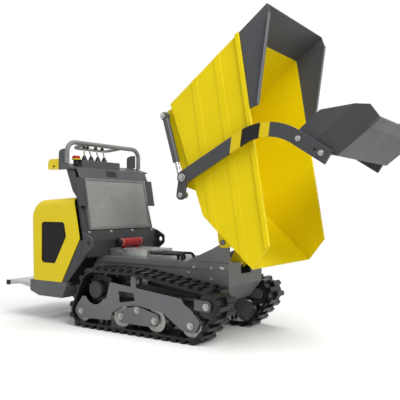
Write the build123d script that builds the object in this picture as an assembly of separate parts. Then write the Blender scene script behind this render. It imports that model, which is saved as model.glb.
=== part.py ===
from build123d import *
import math
import os

# Tracked site dumper, millimetres. X points forward, Y to the left, Z up, ground at z = 0.
# X is measured from the front road roller's axle and shifted to the middle of the machine at the end.

# Tracks
TRACK_OUTER = 395.0
TRACK_WIDTH = 180.0
BELT = 13.0
LUG_HEIGHT = 22.0
LUG_ROOT_LENGTH = 38.0
LUG_TIP_LENGTH = 26.0
LUG_PITCH = 67.0
LUG_SHARE = 0.53
LUG_SUNK = 4.0
HORN_HEIGHT = 24.0
HORN_LENGTH = 22.0
HORN_WIDTH = 13.0
HORN_PLAY = 2.0
HORN_PITCH = 2.2 * LUG_PITCH
ROLLER_RADIUS = 70.0
ROLLER_HUB = 24.0
ROLLER_RIM_INSET = 8.0
ROLLER_XS = (-879.0, -534.0, -261.0, 0.0)
SPROCKET_X = -760.0
SPROCKET_Z = 253.0
SPROCKET_RADIUS = 112.0
SPROCKET_TOOTH = 14.0
SPROCKET_TEETH = 13
SPROCKET_WIDTH = 30.0
MOTOR_RADIUS = 72.0
MOTOR_CAP = 54.0
IDLER_X = 109.0
IDLER_Z = 224.0
IDLER_RADIUS = 67.0
CARRIER_X = -430.0
CARRIER_Z = 330.0
CARRIER_RADIUS = 34.0
RUN_GAP = 0.3
TRACK_INNER = TRACK_OUTER - TRACK_WIDTH
TRACK_MID = TRACK_OUTER - TRACK_WIDTH / 2
ROLLER_Z = ROLLER_RADIUS + BELT + LUG_HEIGHT

# Track frames
FRAME_PLATE = 8.0
FRAME_INSET = 10.0
FRAME_OUT = TRACK_OUTER - FRAME_INSET
FRAME_IN = TRACK_INNER + FRAME_INSET
BEAM_Z0 = 216.0
BEAM_Z1 = 286.0
BEAM_REAR = -610.0
BEAM_FRONT = -95.0
BEAM_OFF = 60.0
MOTOR_CLEAR = 95.0
BOGIE_X = -401.0
BOGIE_Z = 154.0
BOGIE_TUBE = 22.0
TENSION_ROD = 11.0
YOKE_REAR = 28.0
YOKE_HALF = 31.0

# Chassis
CHASSIS_GAP = 15.0
CHASSIS_HALF = TRACK_INNER - CHASSIS_GAP
CHASSIS_PLATE = 8.0
CHASSIS_TOP = 455.0
CHASSIS_FRONT = 147.0
CHASSIS_REAR = -1380.0
CHASSIS_BOTTOM = 215.0
NOSE_X = 60.0
NOSE_Z = 319.0
DECK_REAR = -900.0
REAR_FLOOR = 276.0
BELLY_PLATE = 6.0
RAIL_DEPTH = 38.0
RAIL_PROUD = 6.0
TIP_SLOT_HALF = 62.0
TIP_SLOT_REAR = -180.0
TIP_SLOT_FLOOR = 384.0

# Skip, drawn lowered and then tipped about its hinge
TIP_ANGLE = 70.5
HINGE_X = 112.0
HINGE_Z = 578.0
HINGE_PIN = 16.0
PIN_PLAY = 0.05
SKIP_HALF = 370.0
SKIP_WALL = 5.0
SKIP_FLOOR = 600.0
SKIP_FLOOR_REAR = -748.0
SKIP_FLOOR_FRONT = -49.0
LIP_X = 328.0
LIP_Z = 808.0
RIM_FRONT_X = 240.0
RIM_FRONT_Z = 947.0
RIM_REAR_X = -916.0
RIM_REAR_Z = 1158.0
RIM_FOLD = 12.0
RIM_DEPTH = 26.0
BAND_WIDTH = 46.0
BAND_DEPTH = 3.0
BAND_DROPS = (150.0, 330.0)
GUARD_RISE = 215.0
GUARD_PLATE = 4.0
GUARD_WING = 430.0
GUARD_EDGE = 60.0
TOWER_INSET = 4.0
TOWER_PLATE = 10.0
TOWER_OUT = CHASSIS_HALF - TOWER_INSET
TOWER_REAR = -150.0
TOWER_RIB_X = 20.0
TOWER_RIB = 14.0
TOWER_RIB_DEPTH = 40.0
EAR_GAP = 2.0
EAR_PLATE = 12.0
EAR_REACH = 260.0

# Tipping cylinder
TIP_BASE_X = -430.0
TIP_BASE_Z = 330.0
TIP_LEVER = 140.0
TIP_LEVER_ANGLE = -30.1
TIP_BARREL = 34.0
TIP_BARREL_LENGTH = 420.0
TIP_BARREL_EYE = 32.0
TIP_ROD = 18.0
TIP_ROD_START = 70.0
TIP_EYE = 30.0
TIP_EYE_HALF = 20.0
BASE_LUG_IN = 40.0
BASE_LUG_PLATE = 14.0
BASE_LUG_WIDTH = 60.0
LEVER_HALF = 32.0
LEVER_PLATE = 12.0
LEVER_REACH = 150.0

# Loader, drawn with the skip lowered
LOADER_PIVOT = (-289.0, 575.0)
LOADER_PIN = 18.0
ROD_EYE = (-201.0, 527.0)
REAR_PIN_AT = (-689.0, 551.0)
REAR_PIN = 11.0
BRACKET_INSET = 24.0
BRACKET_PLATE = 12.0
BRACKET_IN = SKIP_HALF - BRACKET_INSET
BRACKET_OUT = BRACKET_IN + BRACKET_PLATE
CYLINDER_RADIUS = 20.0
CYLINDER_GAP = 6.0
CYLINDER_Y = BRACKET_OUT + CYLINDER_GAP + CYLINDER_RADIUS
CYLINDER_LENGTH = 286.0
CYLINDER_EYE = 24.0
CYLINDER_EYE_HALF = 16.0
ROD_RADIUS = 11.0
ROD_START = 214.0
ROD_EYE_RADIUS = 20.0
ROD_EYE_HALF = 9.0
ROD_EYE_HOLE = 9.0
ARM_GAP = 5.0
ARM_IN = CYLINDER_Y + CYLINDER_RADIUS + ARM_GAP
ARM_PLATE = 16.0
ARM_OUT = ARM_IN + ARM_PLATE
ARM_WIDTH = 76.0
ARM_LEVER_WIDTH = 56.0
ARM_CREST = (-374.0, 1184.0)
ARM_TIP = (-64.0, 1422.0)
ARM_BEND = 313.0

# Shovel, drawn with the skip lowered
SHOVEL_GAP = 9.0
SHOVEL_HALF = ARM_IN - SHOVEL_GAP
SHOVEL_PLATE = 8.0
SHOVEL_HEEL = (-60.0, 1458.0)
SHOVEL_EDGE = (-144.0, 1715.0)
CHEEK_TOP_FRONT = (-229.0, 1690.0)
CHEEK_FOLD_FRONT = (-260.0, 1629.0)
CHEEK_FOLD_REAR = (-173.0, 1377.0)
STRIP_RISE = 125.0
STRIP_IN = 60.0
STRIP_REAR = -45.0
STRIP_FRONT = 105.0
CUTTER_LENGTH = 62.0
CUTTER_PLATE = 14.0
SHOVEL_LUG = 30.0
SHOVEL_LUG_WIDTH = 44.0
SHOVEL_LUG_REAR = (-215.0, 1306.0)
SHOVEL_LUG_FRONT = (-100.0, 1394.0)

# Rear end
HOOD_INSET = 23.0
HOOD_HALF = TRACK_OUTER - HOOD_INSET
HOOD_WALL = 6.0
HOOD_REAR = -1410.0
HOOD_TOP = 853.0
HOOD_FALL = 19.0
HOOD_CORNER = 130.0
HOOD_ROUND = 40.0
HOOD_FRONT_TOP = -970.0
HOOD_NOSE = (-912.0, 575.0)
HOOD_FOOT = -1085.0
HOOD_OPEN = 60.0
WINDOW_ROUND = 26.0
WINDOW_REAR = -1292.0
WINDOW_FRONT = -1040.0
WINDOW_TOP = 686.0
WINDOW_BOTTOM = 401.0
WINDOW_SHOULDER = (21.0, 97.0)
WINDOW_SLANT = 110.0
GRILLE_LAP = 20.0
GRILLE_PLATE = 4.0
GRILLE_GAP = 0.3
SKIRT_WALL = 6.0
SKIRT_REAR = -1406.0
SKIRT_FRONT = -1036.0
SKIRT_BOTTOM = 169.0
SKIRT_CHAMFER = 93.0
SKIRT_RAKE = 44.0
SKIRT_KNEE = 30.0
SKIRT_EAVE = 20.0
BULKHEAD_PLATE = 5.0
BULKHEAD_INSET = 32.0
BULKHEAD_HALF = HOOD_HALF - BULKHEAD_INSET
UNIT_REAR = -1340.0
UNIT_FRONT = -1100.0
UNIT_BOTTOM = 290.0
UNIT_HEADROOM = 153.0
UNIT_TOP = HOOD_TOP - UNIT_HEADROOM

# Platform
PLATFORM_HALF = 300.0
PLATFORM_FRONT = -1442.0
PLATFORM_REAR = -1762.0
PLATFORM_TOP = 240.0
PLATFORM_PLATE = 6.0
PLATFORM_RIM = 36.0
PLATFORM_KNEE = 160.0
PLATFORM_PIN_X = -1436.0
PLATFORM_PIN_Z = 224.0
PLATFORM_PIN = 8.0
HINGE_CLEAR = 3.0
HINGE_PLATE = 10.0
BUFFER_LENGTH = 34.0
BUFFER_PLATE = 6.0

# Console
CONSOLE_INSET = 20.0
CONSOLE_HALF = HOOD_HALF - CONSOLE_INSET
POST_WIDTH = 38.0
POST_FOOT_X = -860.0
POST_FOOT_DEPTH = 45.0
POST_KNEE_Z = 560.0
POST_TOP_Z = 1046.0
STRUT_WIDTH = 17.0
BASE_PLATE = 12.0
BASE_PLATE_TOP = 630.0
PANEL_OVERHANG = 32.0
PANEL_HALF = CONSOLE_HALF + PANEL_OVERHANG
PANEL_REAR = (-1072.0, 1090.0)
PANEL_FRONT = (-960.0, 1056.0)
APRON_PLATE = 6.0
VALVE_BLOCK_YS = (-290.0, 86.0)
VALVE_BLOCK_XS = (-1040.0, -972.0)
VALVE_BLOCK_TOP = 1112.0
MESH_TOP = (-936.0, 986.0)
MESH_FOOT = (-872.0, 636.0)
MESH_PLATE = 8.0
MESH_SHEET = 2.0
MESH_RIM = 14.0
MESH_FLANGE = 44.0
MESH_FLANGE_PLATE = 6.0
WING_LAP = 37.0
WING_WIDTH = 75.0
WING_IN = CONSOLE_HALF - WING_LAP
WING_OUT = WING_IN + WING_WIDTH
WING_FOOT = 0.46
WING_PLATE = 5.0
HOOP_X = -1036.0
HOOP_TOP = 1250.0
HOOP_TUBE = 16.0
HOOP_BEND = 70.0
RAIL_TUBE = 11.0
RAIL_REACH = 154.0
RAIL_HALF = 190.0
RAIL_TAPER = 25.0
RAIL_DROP = 18.0
RAIL_BEND = 45.0
SHIELD_PLATE = 4.0
SHIELD_REAR = -1138.0
SHIELD_TOP = 1190.0
SHIELD_ROUND = 24.0
HAND_GUARD_REAR = -1251.0
HAND_GUARD_WIDTH = 44.0
HAND_GUARD_Z0 = 1052.0
HAND_GUARD_Z1 = 1123.0
HAND_GUARD_ROUND = 30.0
CONTROL_X = -1000.0
LEVER_YS = (-244.0, -179.0, -113.0, -49.0)
LEVER_LEANS = (-4.0, -35.0, -22.0, -21.0)
LEVER_TOP = 1203.0
LEVER_ROD = 5.0
LEVER_KNOB = 12.0
BOOT_RADIUS = 22.0
BOOT_NECK = 9.0
BOOT_HEIGHT = 32.0
STOP_Y = -319.0
STOP_BODY = 20.0
STOP_BODY_HEIGHT = 44.0
STOP_CAP = 27.0
STOP_CAP_HEIGHT = 20.0
EYE_X = -815.0
EYE_Z = 549.0
EYE_HOLE = 17.0
EYE_PLATE = 12.0
EYE_OUT = CONSOLE_HALF + STRUT_WIDTH + EYE_PLATE
EYE_ROUND = 34.0

# Deck
TRAY_REAR = -840.0
TRAY_FRONT = -515.0
TRAY_YS = (-150.0, 125.0)
TRAY_HEIGHT = 50.0
TUBE_X = -780.0
TUBE_RADIUS = 29.0
TUBE_YS = (-125.0, 95.0)
TUBE_CAP = 14.0
TUBE_LIFT = 10.0
HOSE_RADIUS = 9.0
HOSE_REAR = -480.0
HOSE_FRONT = -215.0
HOSE_LOOPS = ((-168.0, -42.0), (-138.0, -72.0))
HOSE_STEP = 26.0

nodes = {}


def block(x0, x1, y0, y1, z0, z1):
    """A box between two corners."""
    return Pos((x0 + x1) / 2, (y0 + y1) / 2, (z0 + z1) / 2) * Box(x1 - x0, y1 - y0, z1 - z0)


def plate(points, y0, y1):
    """A flat plate from y0 to y1: corners in X and Z, each with a radius after it where it is round."""
    corners = [(point[0], y0, point[1]) for point in points]
    rounds = [point[2] if len(point) > 2 else 0 for point in points]
    outline = FilletPolyline(*corners, radius=rounds, close=True)
    return extrude(make_face(outline), amount=y1 - y0, dir=(0, 1, 0))


def panel(points, thickness):
    """A flat sheet from corners in space, thickened to both sides."""
    face = make_face(Polyline(*points, close=True))
    return extrude(face, amount=thickness / 2, both=True)


def across(x, z, radius, y0, y1):
    """A round bar along Y."""
    base = Plane(origin=(x, y0, z), z_dir=(0, 1, 0))
    return base * Cylinder(radius, y1 - y0, align=(Align.CENTER, Align.CENTER, Align.MIN))


def bar(start, end, radius):
    """A round bar between two points."""
    start = Vector(start)
    run = Vector(end) - start
    base = Plane(origin=start, z_dir=run)
    return base * Cylinder(radius, run.length, align=(Align.CENTER, Align.CENTER, Align.MIN))


def tube(points, radius, bend):
    """A round bar bent along a route."""
    path = FilletPolyline(*points, radius=bend)
    return sweep(Plane(origin=path @ 0, z_dir=path % 0) * Circle(radius), path=path)


def strap(start, end, width, y0, y1):
    """A plate with round ends between two points in X and Z."""
    (x0, z0), (x1, z1) = start, end
    length = math.hypot(x1 - x0, z1 - z0)
    side_x = -(z1 - z0) / length * width / 2
    side_z = (x1 - x0) / length * width / 2
    corners = [(x0 + side_x, z0 + side_z), (x1 + side_x, z1 + side_z),
               (x1 - side_x, z1 - side_z), (x0 - side_x, z0 - side_z)]
    ends = across(x0, z0, width / 2, y0, y1) + across(x1, z1, width / 2, y0, y1)
    return plate(corners, y0, y1) + ends


def curved_strap(points, bend, width, y0, y1):
    """A plate along a route in X and Z that turns in an arc, round at its first end, square at its last."""
    middle = (y0 + y1) / 2
    route = FilletPolyline(*[(x, middle, z) for x, z in points], radius=bend)
    section = Plane(origin=route @ 0, x_dir=(0, 1, 0), z_dir=route % 0) * Rectangle(y1 - y0, width)
    return sweep(section, path=route) + across(*points[0], width / 2, y0, y1)


def mirrored(solid):
    """The same piece on the other side."""
    return mirror(solid, about=Plane.XZ)


def both(*solids):
    """Pieces of the left side and their mirror images, as one node."""
    return Compound([*solids, *[mirrored(solid) for solid in solids]])


def sides(name, solid):
    """A left and a right node from the left piece."""
    nodes[name + "_left"] = solid
    nodes[name + "_right"] = mirrored(solid)


def tipped(solid):
    """A piece of the lowered skip, moved to the tipped place."""
    hinge = Axis((HINGE_X, 0, HINGE_Z), (0, 1, 0))
    return solid.rotate(hinge, TIP_ANGLE)


def between(start, end, share):
    """The point at a share of the way from one point to another."""
    return tuple(a + (b - a) * share for a, b in zip(start, end))


def beside(start, end, distance):
    """The step off the left of a line in X and Z, as long as the distance."""
    run_x = end[0] - start[0]
    run_z = end[1] - start[1]
    length = math.hypot(run_x, run_z)
    return (-run_z / length * distance, run_x / length * distance)


def sheet(start, end, thickness, y0, y1):
    """A flat plate along a line in X and Z, its thickness on the line's left."""
    dx, dz = beside(start, end, thickness)
    return plate([start, end, (end[0] + dx, end[1] + dz), (start[0] + dx, start[1] + dz)], y0, y1)


# Rubber track: the belt lies round sprocket, carrier, idler and rollers, with two staggered rows of
# lugs outside it and two rows of guide horns inside
def loop_face(extra):
    """The area inside the belt, grown by a little."""
    circles = [(SPROCKET_X, SPROCKET_Z, SPROCKET_RADIUS), (CARRIER_X, CARRIER_Z, CARRIER_RADIUS),
               (IDLER_X, IDLER_Z, IDLER_RADIUS), (ROLLER_XS[0], ROLLER_Z, ROLLER_RADIUS),
               (ROLLER_XS[-1], ROLLER_Z, ROLLER_RADIUS)]
    return make_hull([Pos(x, z) * Edge.make_circle(radius + extra) for x, z, radius in circles])


def upright(face, y0, y1):
    """A face drawn in X and Z, stood up and made as wide as from y0 to y1."""
    stood = Plane(origin=(0, y1, 0), x_dir=(1, 0, 0), z_dir=(0, -1, 0)) * face
    return extrude(stood, amount=y1 - y0, dir=(0, -1, 0))


def belt_seat(rim, share):
    """A plane on the belt at a share of its length: X along the belt, Z out of the loop."""
    spot = rim.position_at(share % 1)
    run = rim.tangent_at(share % 1)
    out = Vector(run.Y, 0, -run.X)
    centre = Vector((SPROCKET_X + IDLER_X) / 2, 0, SPROCKET_Z)
    if out.dot(Vector(spot.X, 0, spot.Y) - centre) < 0:
        out = -out
    return Plane(origin=(spot.X, 0, spot.Y), x_dir=Vector(0, 1, 0).cross(out), z_dir=out)


outer_face = loop_face(BELT)
inner_face = loop_face(0)
belt = upright(outer_face, TRACK_INNER, TRACK_OUTER) - upright(inner_face, TRACK_INNER, TRACK_OUTER)
outer_rim = outer_face.wire()
inner_rim = inner_face.wire()
lug_count = round(outer_rim.length / LUG_PITCH)
lug_profile = [(-LUG_ROOT_LENGTH / 2, -LUG_SUNK), (LUG_ROOT_LENGTH / 2, -LUG_SUNK),
               (LUG_TIP_LENGTH / 2, LUG_HEIGHT), (-LUG_TIP_LENGTH / 2, LUG_HEIGHT)]
half_lug = LUG_SHARE * TRACK_WIDTH
inner_lug = plate(lug_profile, TRACK_INNER, TRACK_INNER + half_lug)
outer_lug = plate(lug_profile, TRACK_OUTER - half_lug, TRACK_OUTER)
horn_count = round(inner_rim.length / HORN_PITCH)
horn_in = SPROCKET_WIDTH / 2 + HORN_PLAY
horn_out = horn_in + HORN_WIDTH
horn_profile = [(-HORN_LENGTH / 2, LUG_SUNK), (HORN_LENGTH / 2, LUG_SUNK),
                (HORN_LENGTH / 4, -HORN_HEIGHT), (-HORN_LENGTH / 4, -HORN_HEIGHT)]
horn_pair = [plate(horn_profile, TRACK_MID + horn_in, TRACK_MID + horn_out),
             plate(horn_profile, TRACK_MID - horn_out, TRACK_MID - horn_in)]
knobs = []
for index in range(lug_count):
    knobs.append(belt_seat(outer_rim, index / lug_count) * inner_lug)
    knobs.append(belt_seat(outer_rim, (index + 0.5) / lug_count) * outer_lug)
for index in range(horn_count):
    for horn in horn_pair:
        knobs.append(belt_seat(inner_rim, index / horn_count) * horn)
below_ground = block(2 * CHASSIS_REAR, -CHASSIS_REAR, 0, 2 * TRACK_OUTER, -2 * LUG_HEIGHT, 0)
sides("track", belt.fuse(*knobs) - below_ground)

# Rollers, idler and sprocket run inside the belt, with a groove for the guide horns
roller_in = FRAME_IN + FRAME_PLATE + RUN_GAP
roller_out = FRAME_OUT - FRAME_PLATE - RUN_GAP
groove = horn_out + HORN_PLAY


def rims(x, z, radius):
    """The two rims of a roller, one on each side of the groove."""
    size = radius - RUN_GAP
    return (across(x, z, size, roller_in + ROLLER_RIM_INSET, TRACK_MID - groove),
            across(x, z, size, TRACK_MID + groove, roller_out - ROLLER_RIM_INSET))


def roller(x, z, radius):
    """A roller with a hub that reaches the frame plates at both ends."""
    inner_rim_solid, outer_rim_solid = rims(x, z, radius)
    return inner_rim_solid + outer_rim_solid + across(x, z, ROLLER_HUB, roller_in, roller_out)


carrier_in, carrier_out = rims(CARRIER_X, CARRIER_Z, CARRIER_RADIUS)
carrier_in += across(CARRIER_X, CARRIER_Z, ROLLER_HUB, roller_in, roller_in + ROLLER_RIM_INSET)
carrier_out += across(CARRIER_X, CARRIER_Z, ROLLER_HUB, roller_out - ROLLER_RIM_INSET, roller_out)
road_rollers = [roller(x, ROLLER_Z, ROLLER_RADIUS) for x in ROLLER_XS]
nodes["track_rollers"] = both(*road_rollers, carrier_in, carrier_out)
nodes["idlers"] = both(roller(IDLER_X, IDLER_Z, IDLER_RADIUS))
sprocket_in = TRACK_MID - SPROCKET_WIDTH / 2
sprocket_out = TRACK_MID + SPROCKET_WIDTH / 2
sprocket = across(SPROCKET_X, SPROCKET_Z, SPROCKET_RADIUS - RUN_GAP, sprocket_in, sprocket_out)
for index in range(SPROCKET_TEETH):
    turn = math.tau * index / SPROCKET_TEETH
    notch_x = SPROCKET_X + SPROCKET_RADIUS * math.cos(turn)
    notch_z = SPROCKET_Z + SPROCKET_RADIUS * math.sin(turn)
    sprocket -= across(notch_x, notch_z, SPROCKET_TOOTH, sprocket_in, sprocket_out)
nodes["sprockets"] = both(sprocket)
motor = across(SPROCKET_X, SPROCKET_Z, MOTOR_RADIUS, CHASSIS_HALF, sprocket_in)
motor_cap = across(SPROCKET_X, SPROCKET_Z, MOTOR_CAP, sprocket_out, roller_out)
nodes["drive_motors"] = both(motor, motor_cap)

# Track frame: an outer and an inner plate on a beam, carried by two cross beams from the chassis
rear_x = ROLLER_XS[0]
front_x = ROLLER_XS[-1]
frame_outline = [(BEAM_REAR - 14, BEAM_Z1 + 26, 14), (BEAM_FRONT + 29, BEAM_Z1 - 30, 14),
                 (BEAM_FRONT + 45, BEAM_Z0 + 10, 20), (front_x + 1, ROLLER_Z + 94, 40),
                 (front_x + 68, ROLLER_Z + 26, 26), (front_x + 30, ROLLER_Z - 43, 26),
                 (front_x - 55, ROLLER_Z - 33, 20), (front_x - 195, ROLLER_Z + 54, 40),
                 (BOGIE_X, BOGIE_Z + 32, 60), (BOGIE_X - 130, BOGIE_Z + 10, 20),
                 (BEAM_REAR + 2, ROLLER_Z + 14, 14), (BEAM_REAR - 8, ROLLER_Z - 32, 10),
                 (rear_x - 20, ROLLER_Z - 46, 30),
                 (rear_x - 60, ROLLER_Z, 30), (rear_x + 10, ROLLER_Z + 100, 8),
                 (BEAM_REAR - 46, SPROCKET_Z - 50)]
window = [(BOGIE_X - 152, BEAM_Z0 + 47, 8), (BOGIE_X - 24, BEAM_Z0 + 42, 8),
          (BOGIE_X - 15, BEAM_Z0 - 4, 8), (BOGIE_X - 146, BEAM_Z0 - 26, 8)]
beam_in = FRAME_IN + FRAME_PLATE
beam_out = FRAME_OUT - FRAME_PLATE
plates = plate(frame_outline, FRAME_IN, beam_in) + plate(frame_outline, beam_out, FRAME_OUT)
plates -= across(SPROCKET_X, SPROCKET_Z, MOTOR_CLEAR, FRAME_IN, FRAME_OUT)
plates -= plate(window, beam_out, FRAME_OUT)
beam = block(BEAM_REAR, BEAM_FRONT, beam_in, beam_out - BEAM_OFF, BEAM_Z0, BEAM_Z1 - 36)
end_ties = block(BEAM_FRONT - 55, BEAM_FRONT, beam_in, beam_out, BEAM_Z0, BEAM_Z0 + 34)
end_ties += block(BEAM_REAR - 5, BEAM_REAR + 35, beam_in, beam_out, BEAM_Z0, BEAM_Z1 - 6)
saddle = block(BOGIE_X - 40, BOGIE_X + 40, beam_in, beam_out - BEAM_OFF, BOGIE_Z + BOGIE_TUBE + RUN_GAP,
               BEAM_Z0)
post_top = CARRIER_Z + ROLLER_HUB
carrier_posts = block(CARRIER_X - 20, CARRIER_X + 20, FRAME_IN, beam_in, BEAM_Z0, post_top)
carrier_posts += block(CARRIER_X - 20, CARRIER_X + 20, beam_out, FRAME_OUT, BEAM_Z1 - 10, post_top)
cross_beams = block(BEAM_REAR + 70, BEAM_REAR + 140, CHASSIS_HALF, FRAME_IN, BEAM_Z0 + 10, BEAM_Z1)
cross_beams += block(BEAM_FRONT - 75, BEAM_FRONT - 5, CHASSIS_HALF, FRAME_IN, BEAM_Z0 + 10, BEAM_Z0 + 34)
nodes["track_frames"] = both(plates + beam + end_ties + saddle + carrier_posts + cross_beams)

# Bogie: two plates on a tube, which rocks under the frame's saddle, with the two middle rollers
bogie_outline = [(ROLLER_XS[1] - 32, ROLLER_Z - 4, 20), (ROLLER_XS[1] - 22, ROLLER_Z + 38, 20),
                 (BOGIE_X, BOGIE_Z + 28, 20), (ROLLER_XS[2] + 22, ROLLER_Z + 38, 20),
                 (ROLLER_XS[2] + 32, ROLLER_Z - 4, 20), (ROLLER_XS[2] - 8, ROLLER_Z - 38, 16),
                 (ROLLER_XS[1] + 8, ROLLER_Z - 38, 16)]
bogie = plate(bogie_outline, FRAME_IN, beam_in) + plate(bogie_outline, beam_out, FRAME_OUT)
bogie += across(BOGIE_X, BOGIE_Z, BOGIE_TUBE, FRAME_IN, FRAME_OUT)
nodes["bogies"] = both(bogie)

# Tensioner: a rod along the beam's end and a yoke that holds the idler's hub
yoke_outline = [(YOKE_REAR, IDLER_Z - YOKE_HALF + 8), (YOKE_REAR, IDLER_Z + YOKE_HALF + 4, 4),
                (IDLER_X + YOKE_HALF, IDLER_Z + YOKE_HALF + 4, 24),
                (IDLER_X + YOKE_HALF, IDLER_Z - YOKE_HALF, 24)]
yoke = plate(yoke_outline, FRAME_IN, beam_in) + plate(yoke_outline, beam_out, FRAME_OUT)
rod_z = IDLER_Z + YOKE_HALF - TENSION_ROD
idler_clear = IDLER_X - IDLER_RADIUS - RUN_GAP
yoke += block(YOKE_REAR, idler_clear, FRAME_IN, FRAME_OUT, rod_z - TENSION_ROD, rod_z + TENSION_ROD)
yoke += bar((BEAM_FRONT, TRACK_MID, rod_z), (YOKE_REAR, TRACK_MID, rod_z), TENSION_ROD)
nodes["tensioners"] = both(yoke)

# Chassis: a welded box open below, with a proud rail along each top edge and lugs for the cylinder
side_outline = [(CHASSIS_REAR, REAR_FLOOR), (DECK_REAR - 100, REAR_FLOOR), (DECK_REAR, CHASSIS_BOTTOM),
                (NOSE_X, CHASSIS_BOTTOM), (CHASSIS_FRONT, NOSE_Z), (CHASSIS_FRONT, CHASSIS_TOP),
                (CHASSIS_REAR, CHASSIS_TOP)]
inside = CHASSIS_HALF - CHASSIS_PLATE
side_plate = plate(side_outline, inside, CHASSIS_HALF)
rail = block(DECK_REAR, CHASSIS_FRONT, CHASSIS_HALF, CHASSIS_HALF + RAIL_PROUD, CHASSIS_TOP - RAIL_DEPTH,
             CHASSIS_TOP)
base_lug_out = BASE_LUG_IN + BASE_LUG_PLATE
base_lug = across(TIP_BASE_X, TIP_BASE_Z, BASE_LUG_WIDTH / 2, BASE_LUG_IN, base_lug_out)
base_lug += block(TIP_BASE_X - BASE_LUG_WIDTH / 2, TIP_BASE_X + BASE_LUG_WIDTH / 2, BASE_LUG_IN,
                  base_lug_out,
                  TIP_BASE_Z, CHASSIS_TOP - CHASSIS_PLATE)
half_chassis = side_plate + rail + base_lug
chassis = half_chassis + mirrored(half_chassis)
chassis += block(DECK_REAR, CHASSIS_FRONT, -inside, inside, CHASSIS_TOP - CHASSIS_PLATE, CHASSIS_TOP)
chassis += block(CHASSIS_FRONT - CHASSIS_PLATE, CHASSIS_FRONT, -inside, inside, NOSE_Z, CHASSIS_TOP)
chassis += plate([(NOSE_X, CHASSIS_BOTTOM), (CHASSIS_FRONT, NOSE_Z),
                  (CHASSIS_FRONT - CHASSIS_PLATE, NOSE_Z),
                  (NOSE_X - CHASSIS_PLATE, CHASSIS_BOTTOM)], -inside, inside)
chassis += block(CHASSIS_REAR, CHASSIS_REAR + CHASSIS_PLATE, -inside, inside, REAR_FLOOR, CHASSIS_TOP)
chassis -= block(TIP_SLOT_REAR, 2 * CHASSIS_FRONT, -TIP_SLOT_HALF, TIP_SLOT_HALF, TIP_SLOT_FLOOR,
                 2 * CHASSIS_TOP)
chassis += across(TIP_BASE_X, TIP_BASE_Z, HINGE_PIN, -base_lug_out, base_lug_out)
nodes["chassis"] = chassis
nodes["belly_plate"] = block(DECK_REAR + CHASSIS_PLATE, NOSE_X - CHASSIS_PLATE, -CHASSIS_HALF, CHASSIS_HALF,
                             CHASSIS_BOTTOM - BELLY_PLATE, CHASSIS_BOTTOM)

# Tipping tower: two ribbed plates on the deck that carry the skip's hinge pins
tower_outline = [(TOWER_REAR, CHASSIS_TOP), (TOWER_REAR, CHASSIS_TOP + 6), (HINGE_X - 83, HINGE_Z - 40),
                 (HINGE_X - 30, HINGE_Z - 12), (HINGE_X - 24, HINGE_Z + 24, 14),
                 (HINGE_X + 24, HINGE_Z + 24, 14),
                 (HINGE_X + 34, HINGE_Z), (CHASSIS_FRONT, CHASSIS_TOP + 60), (CHASSIS_FRONT, CHASSIS_TOP)]
tower_in = TOWER_OUT - TOWER_PLATE
tower = plate(tower_outline, tower_in, TOWER_OUT)
tower += block(TOWER_RIB_X, TOWER_RIB_X + TOWER_RIB, tower_in - TOWER_RIB_DEPTH, tower_in, CHASSIS_TOP,
               HINGE_Z - 48)
pin_end = TOWER_OUT + EAR_GAP + EAR_PLATE + 8
tower += across(HINGE_X, HINGE_Z, HINGE_PIN, TOWER_OUT, pin_end)
nodes["tipping_tower"] = both(tower)

# Skip tub: floor, sloped front, leaning back wall and sides with a folded rim and pressed bands
tub_outline = [(SKIP_FLOOR_REAR, SKIP_FLOOR), (SKIP_FLOOR_FRONT, SKIP_FLOOR), (LIP_X, LIP_Z),
               (RIM_FRONT_X, RIM_FRONT_Z), (RIM_REAR_X, RIM_REAR_Z)]
slope = math.atan2(LIP_Z - SKIP_FLOOR, LIP_X - SKIP_FLOOR_FRONT)
back = math.atan2(RIM_REAR_Z - SKIP_FLOOR, SKIP_FLOOR_REAR - RIM_REAR_X)
above = RIM_REAR_Z
hollow_floor = SKIP_FLOOR + SKIP_WALL
hollow_rear = SKIP_FLOOR_REAR + SKIP_WALL / math.sin(back) - SKIP_WALL / math.tan(back)
hollow_front = SKIP_FLOOR_FRONT - SKIP_WALL * math.tan(slope / 2)
hollow = [(hollow_rear, hollow_floor), (hollow_front, hollow_floor),
          (hollow_front + above * math.cos(slope), hollow_floor + above * math.sin(slope)),
          (hollow_front, hollow_floor + above),
          (hollow_rear - above / math.tan(back), hollow_floor + above)]
tub = plate(tub_outline, -SKIP_HALF, SKIP_HALF) - plate(hollow, SKIP_WALL - SKIP_HALF,
                                                        SKIP_HALF - SKIP_WALL)
rim_run = math.hypot(RIM_REAR_X - RIM_FRONT_X, RIM_REAR_Z - RIM_FRONT_Z)
rim_x = (RIM_REAR_X - RIM_FRONT_X) / rim_run
rim_z = (RIM_REAR_Z - RIM_FRONT_Z) / rim_run


def along_rim(distance, drop):
    """A point beside the rim: so far back from its front end and so far below it."""
    return (RIM_FRONT_X + rim_x * distance + rim_z * drop, RIM_FRONT_Z + rim_z * distance + rim_x * drop)


fold = [along_rim(0, 0), along_rim(rim_run, 0), along_rim(rim_run, RIM_DEPTH), along_rim(0, RIM_DEPTH)]
folds = plate(fold, SKIP_HALF, SKIP_HALF + RIM_FOLD)
wall_strip = plate(tub_outline, SKIP_HALF, SKIP_HALF + BAND_DEPTH)
for drop in BAND_DROPS:
    band = [along_rim(-rim_run, drop), along_rim(2 * rim_run, drop),
            along_rim(2 * rim_run, drop + BAND_WIDTH), along_rim(-rim_run, drop + BAND_WIDTH)]
    folds += plate(band, SKIP_HALF, SKIP_HALF + BAND_DEPTH) & wall_strip
tub += folds
tub += mirrored(folds)
nodes["skip_tub"] = tipped(tub)

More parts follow.
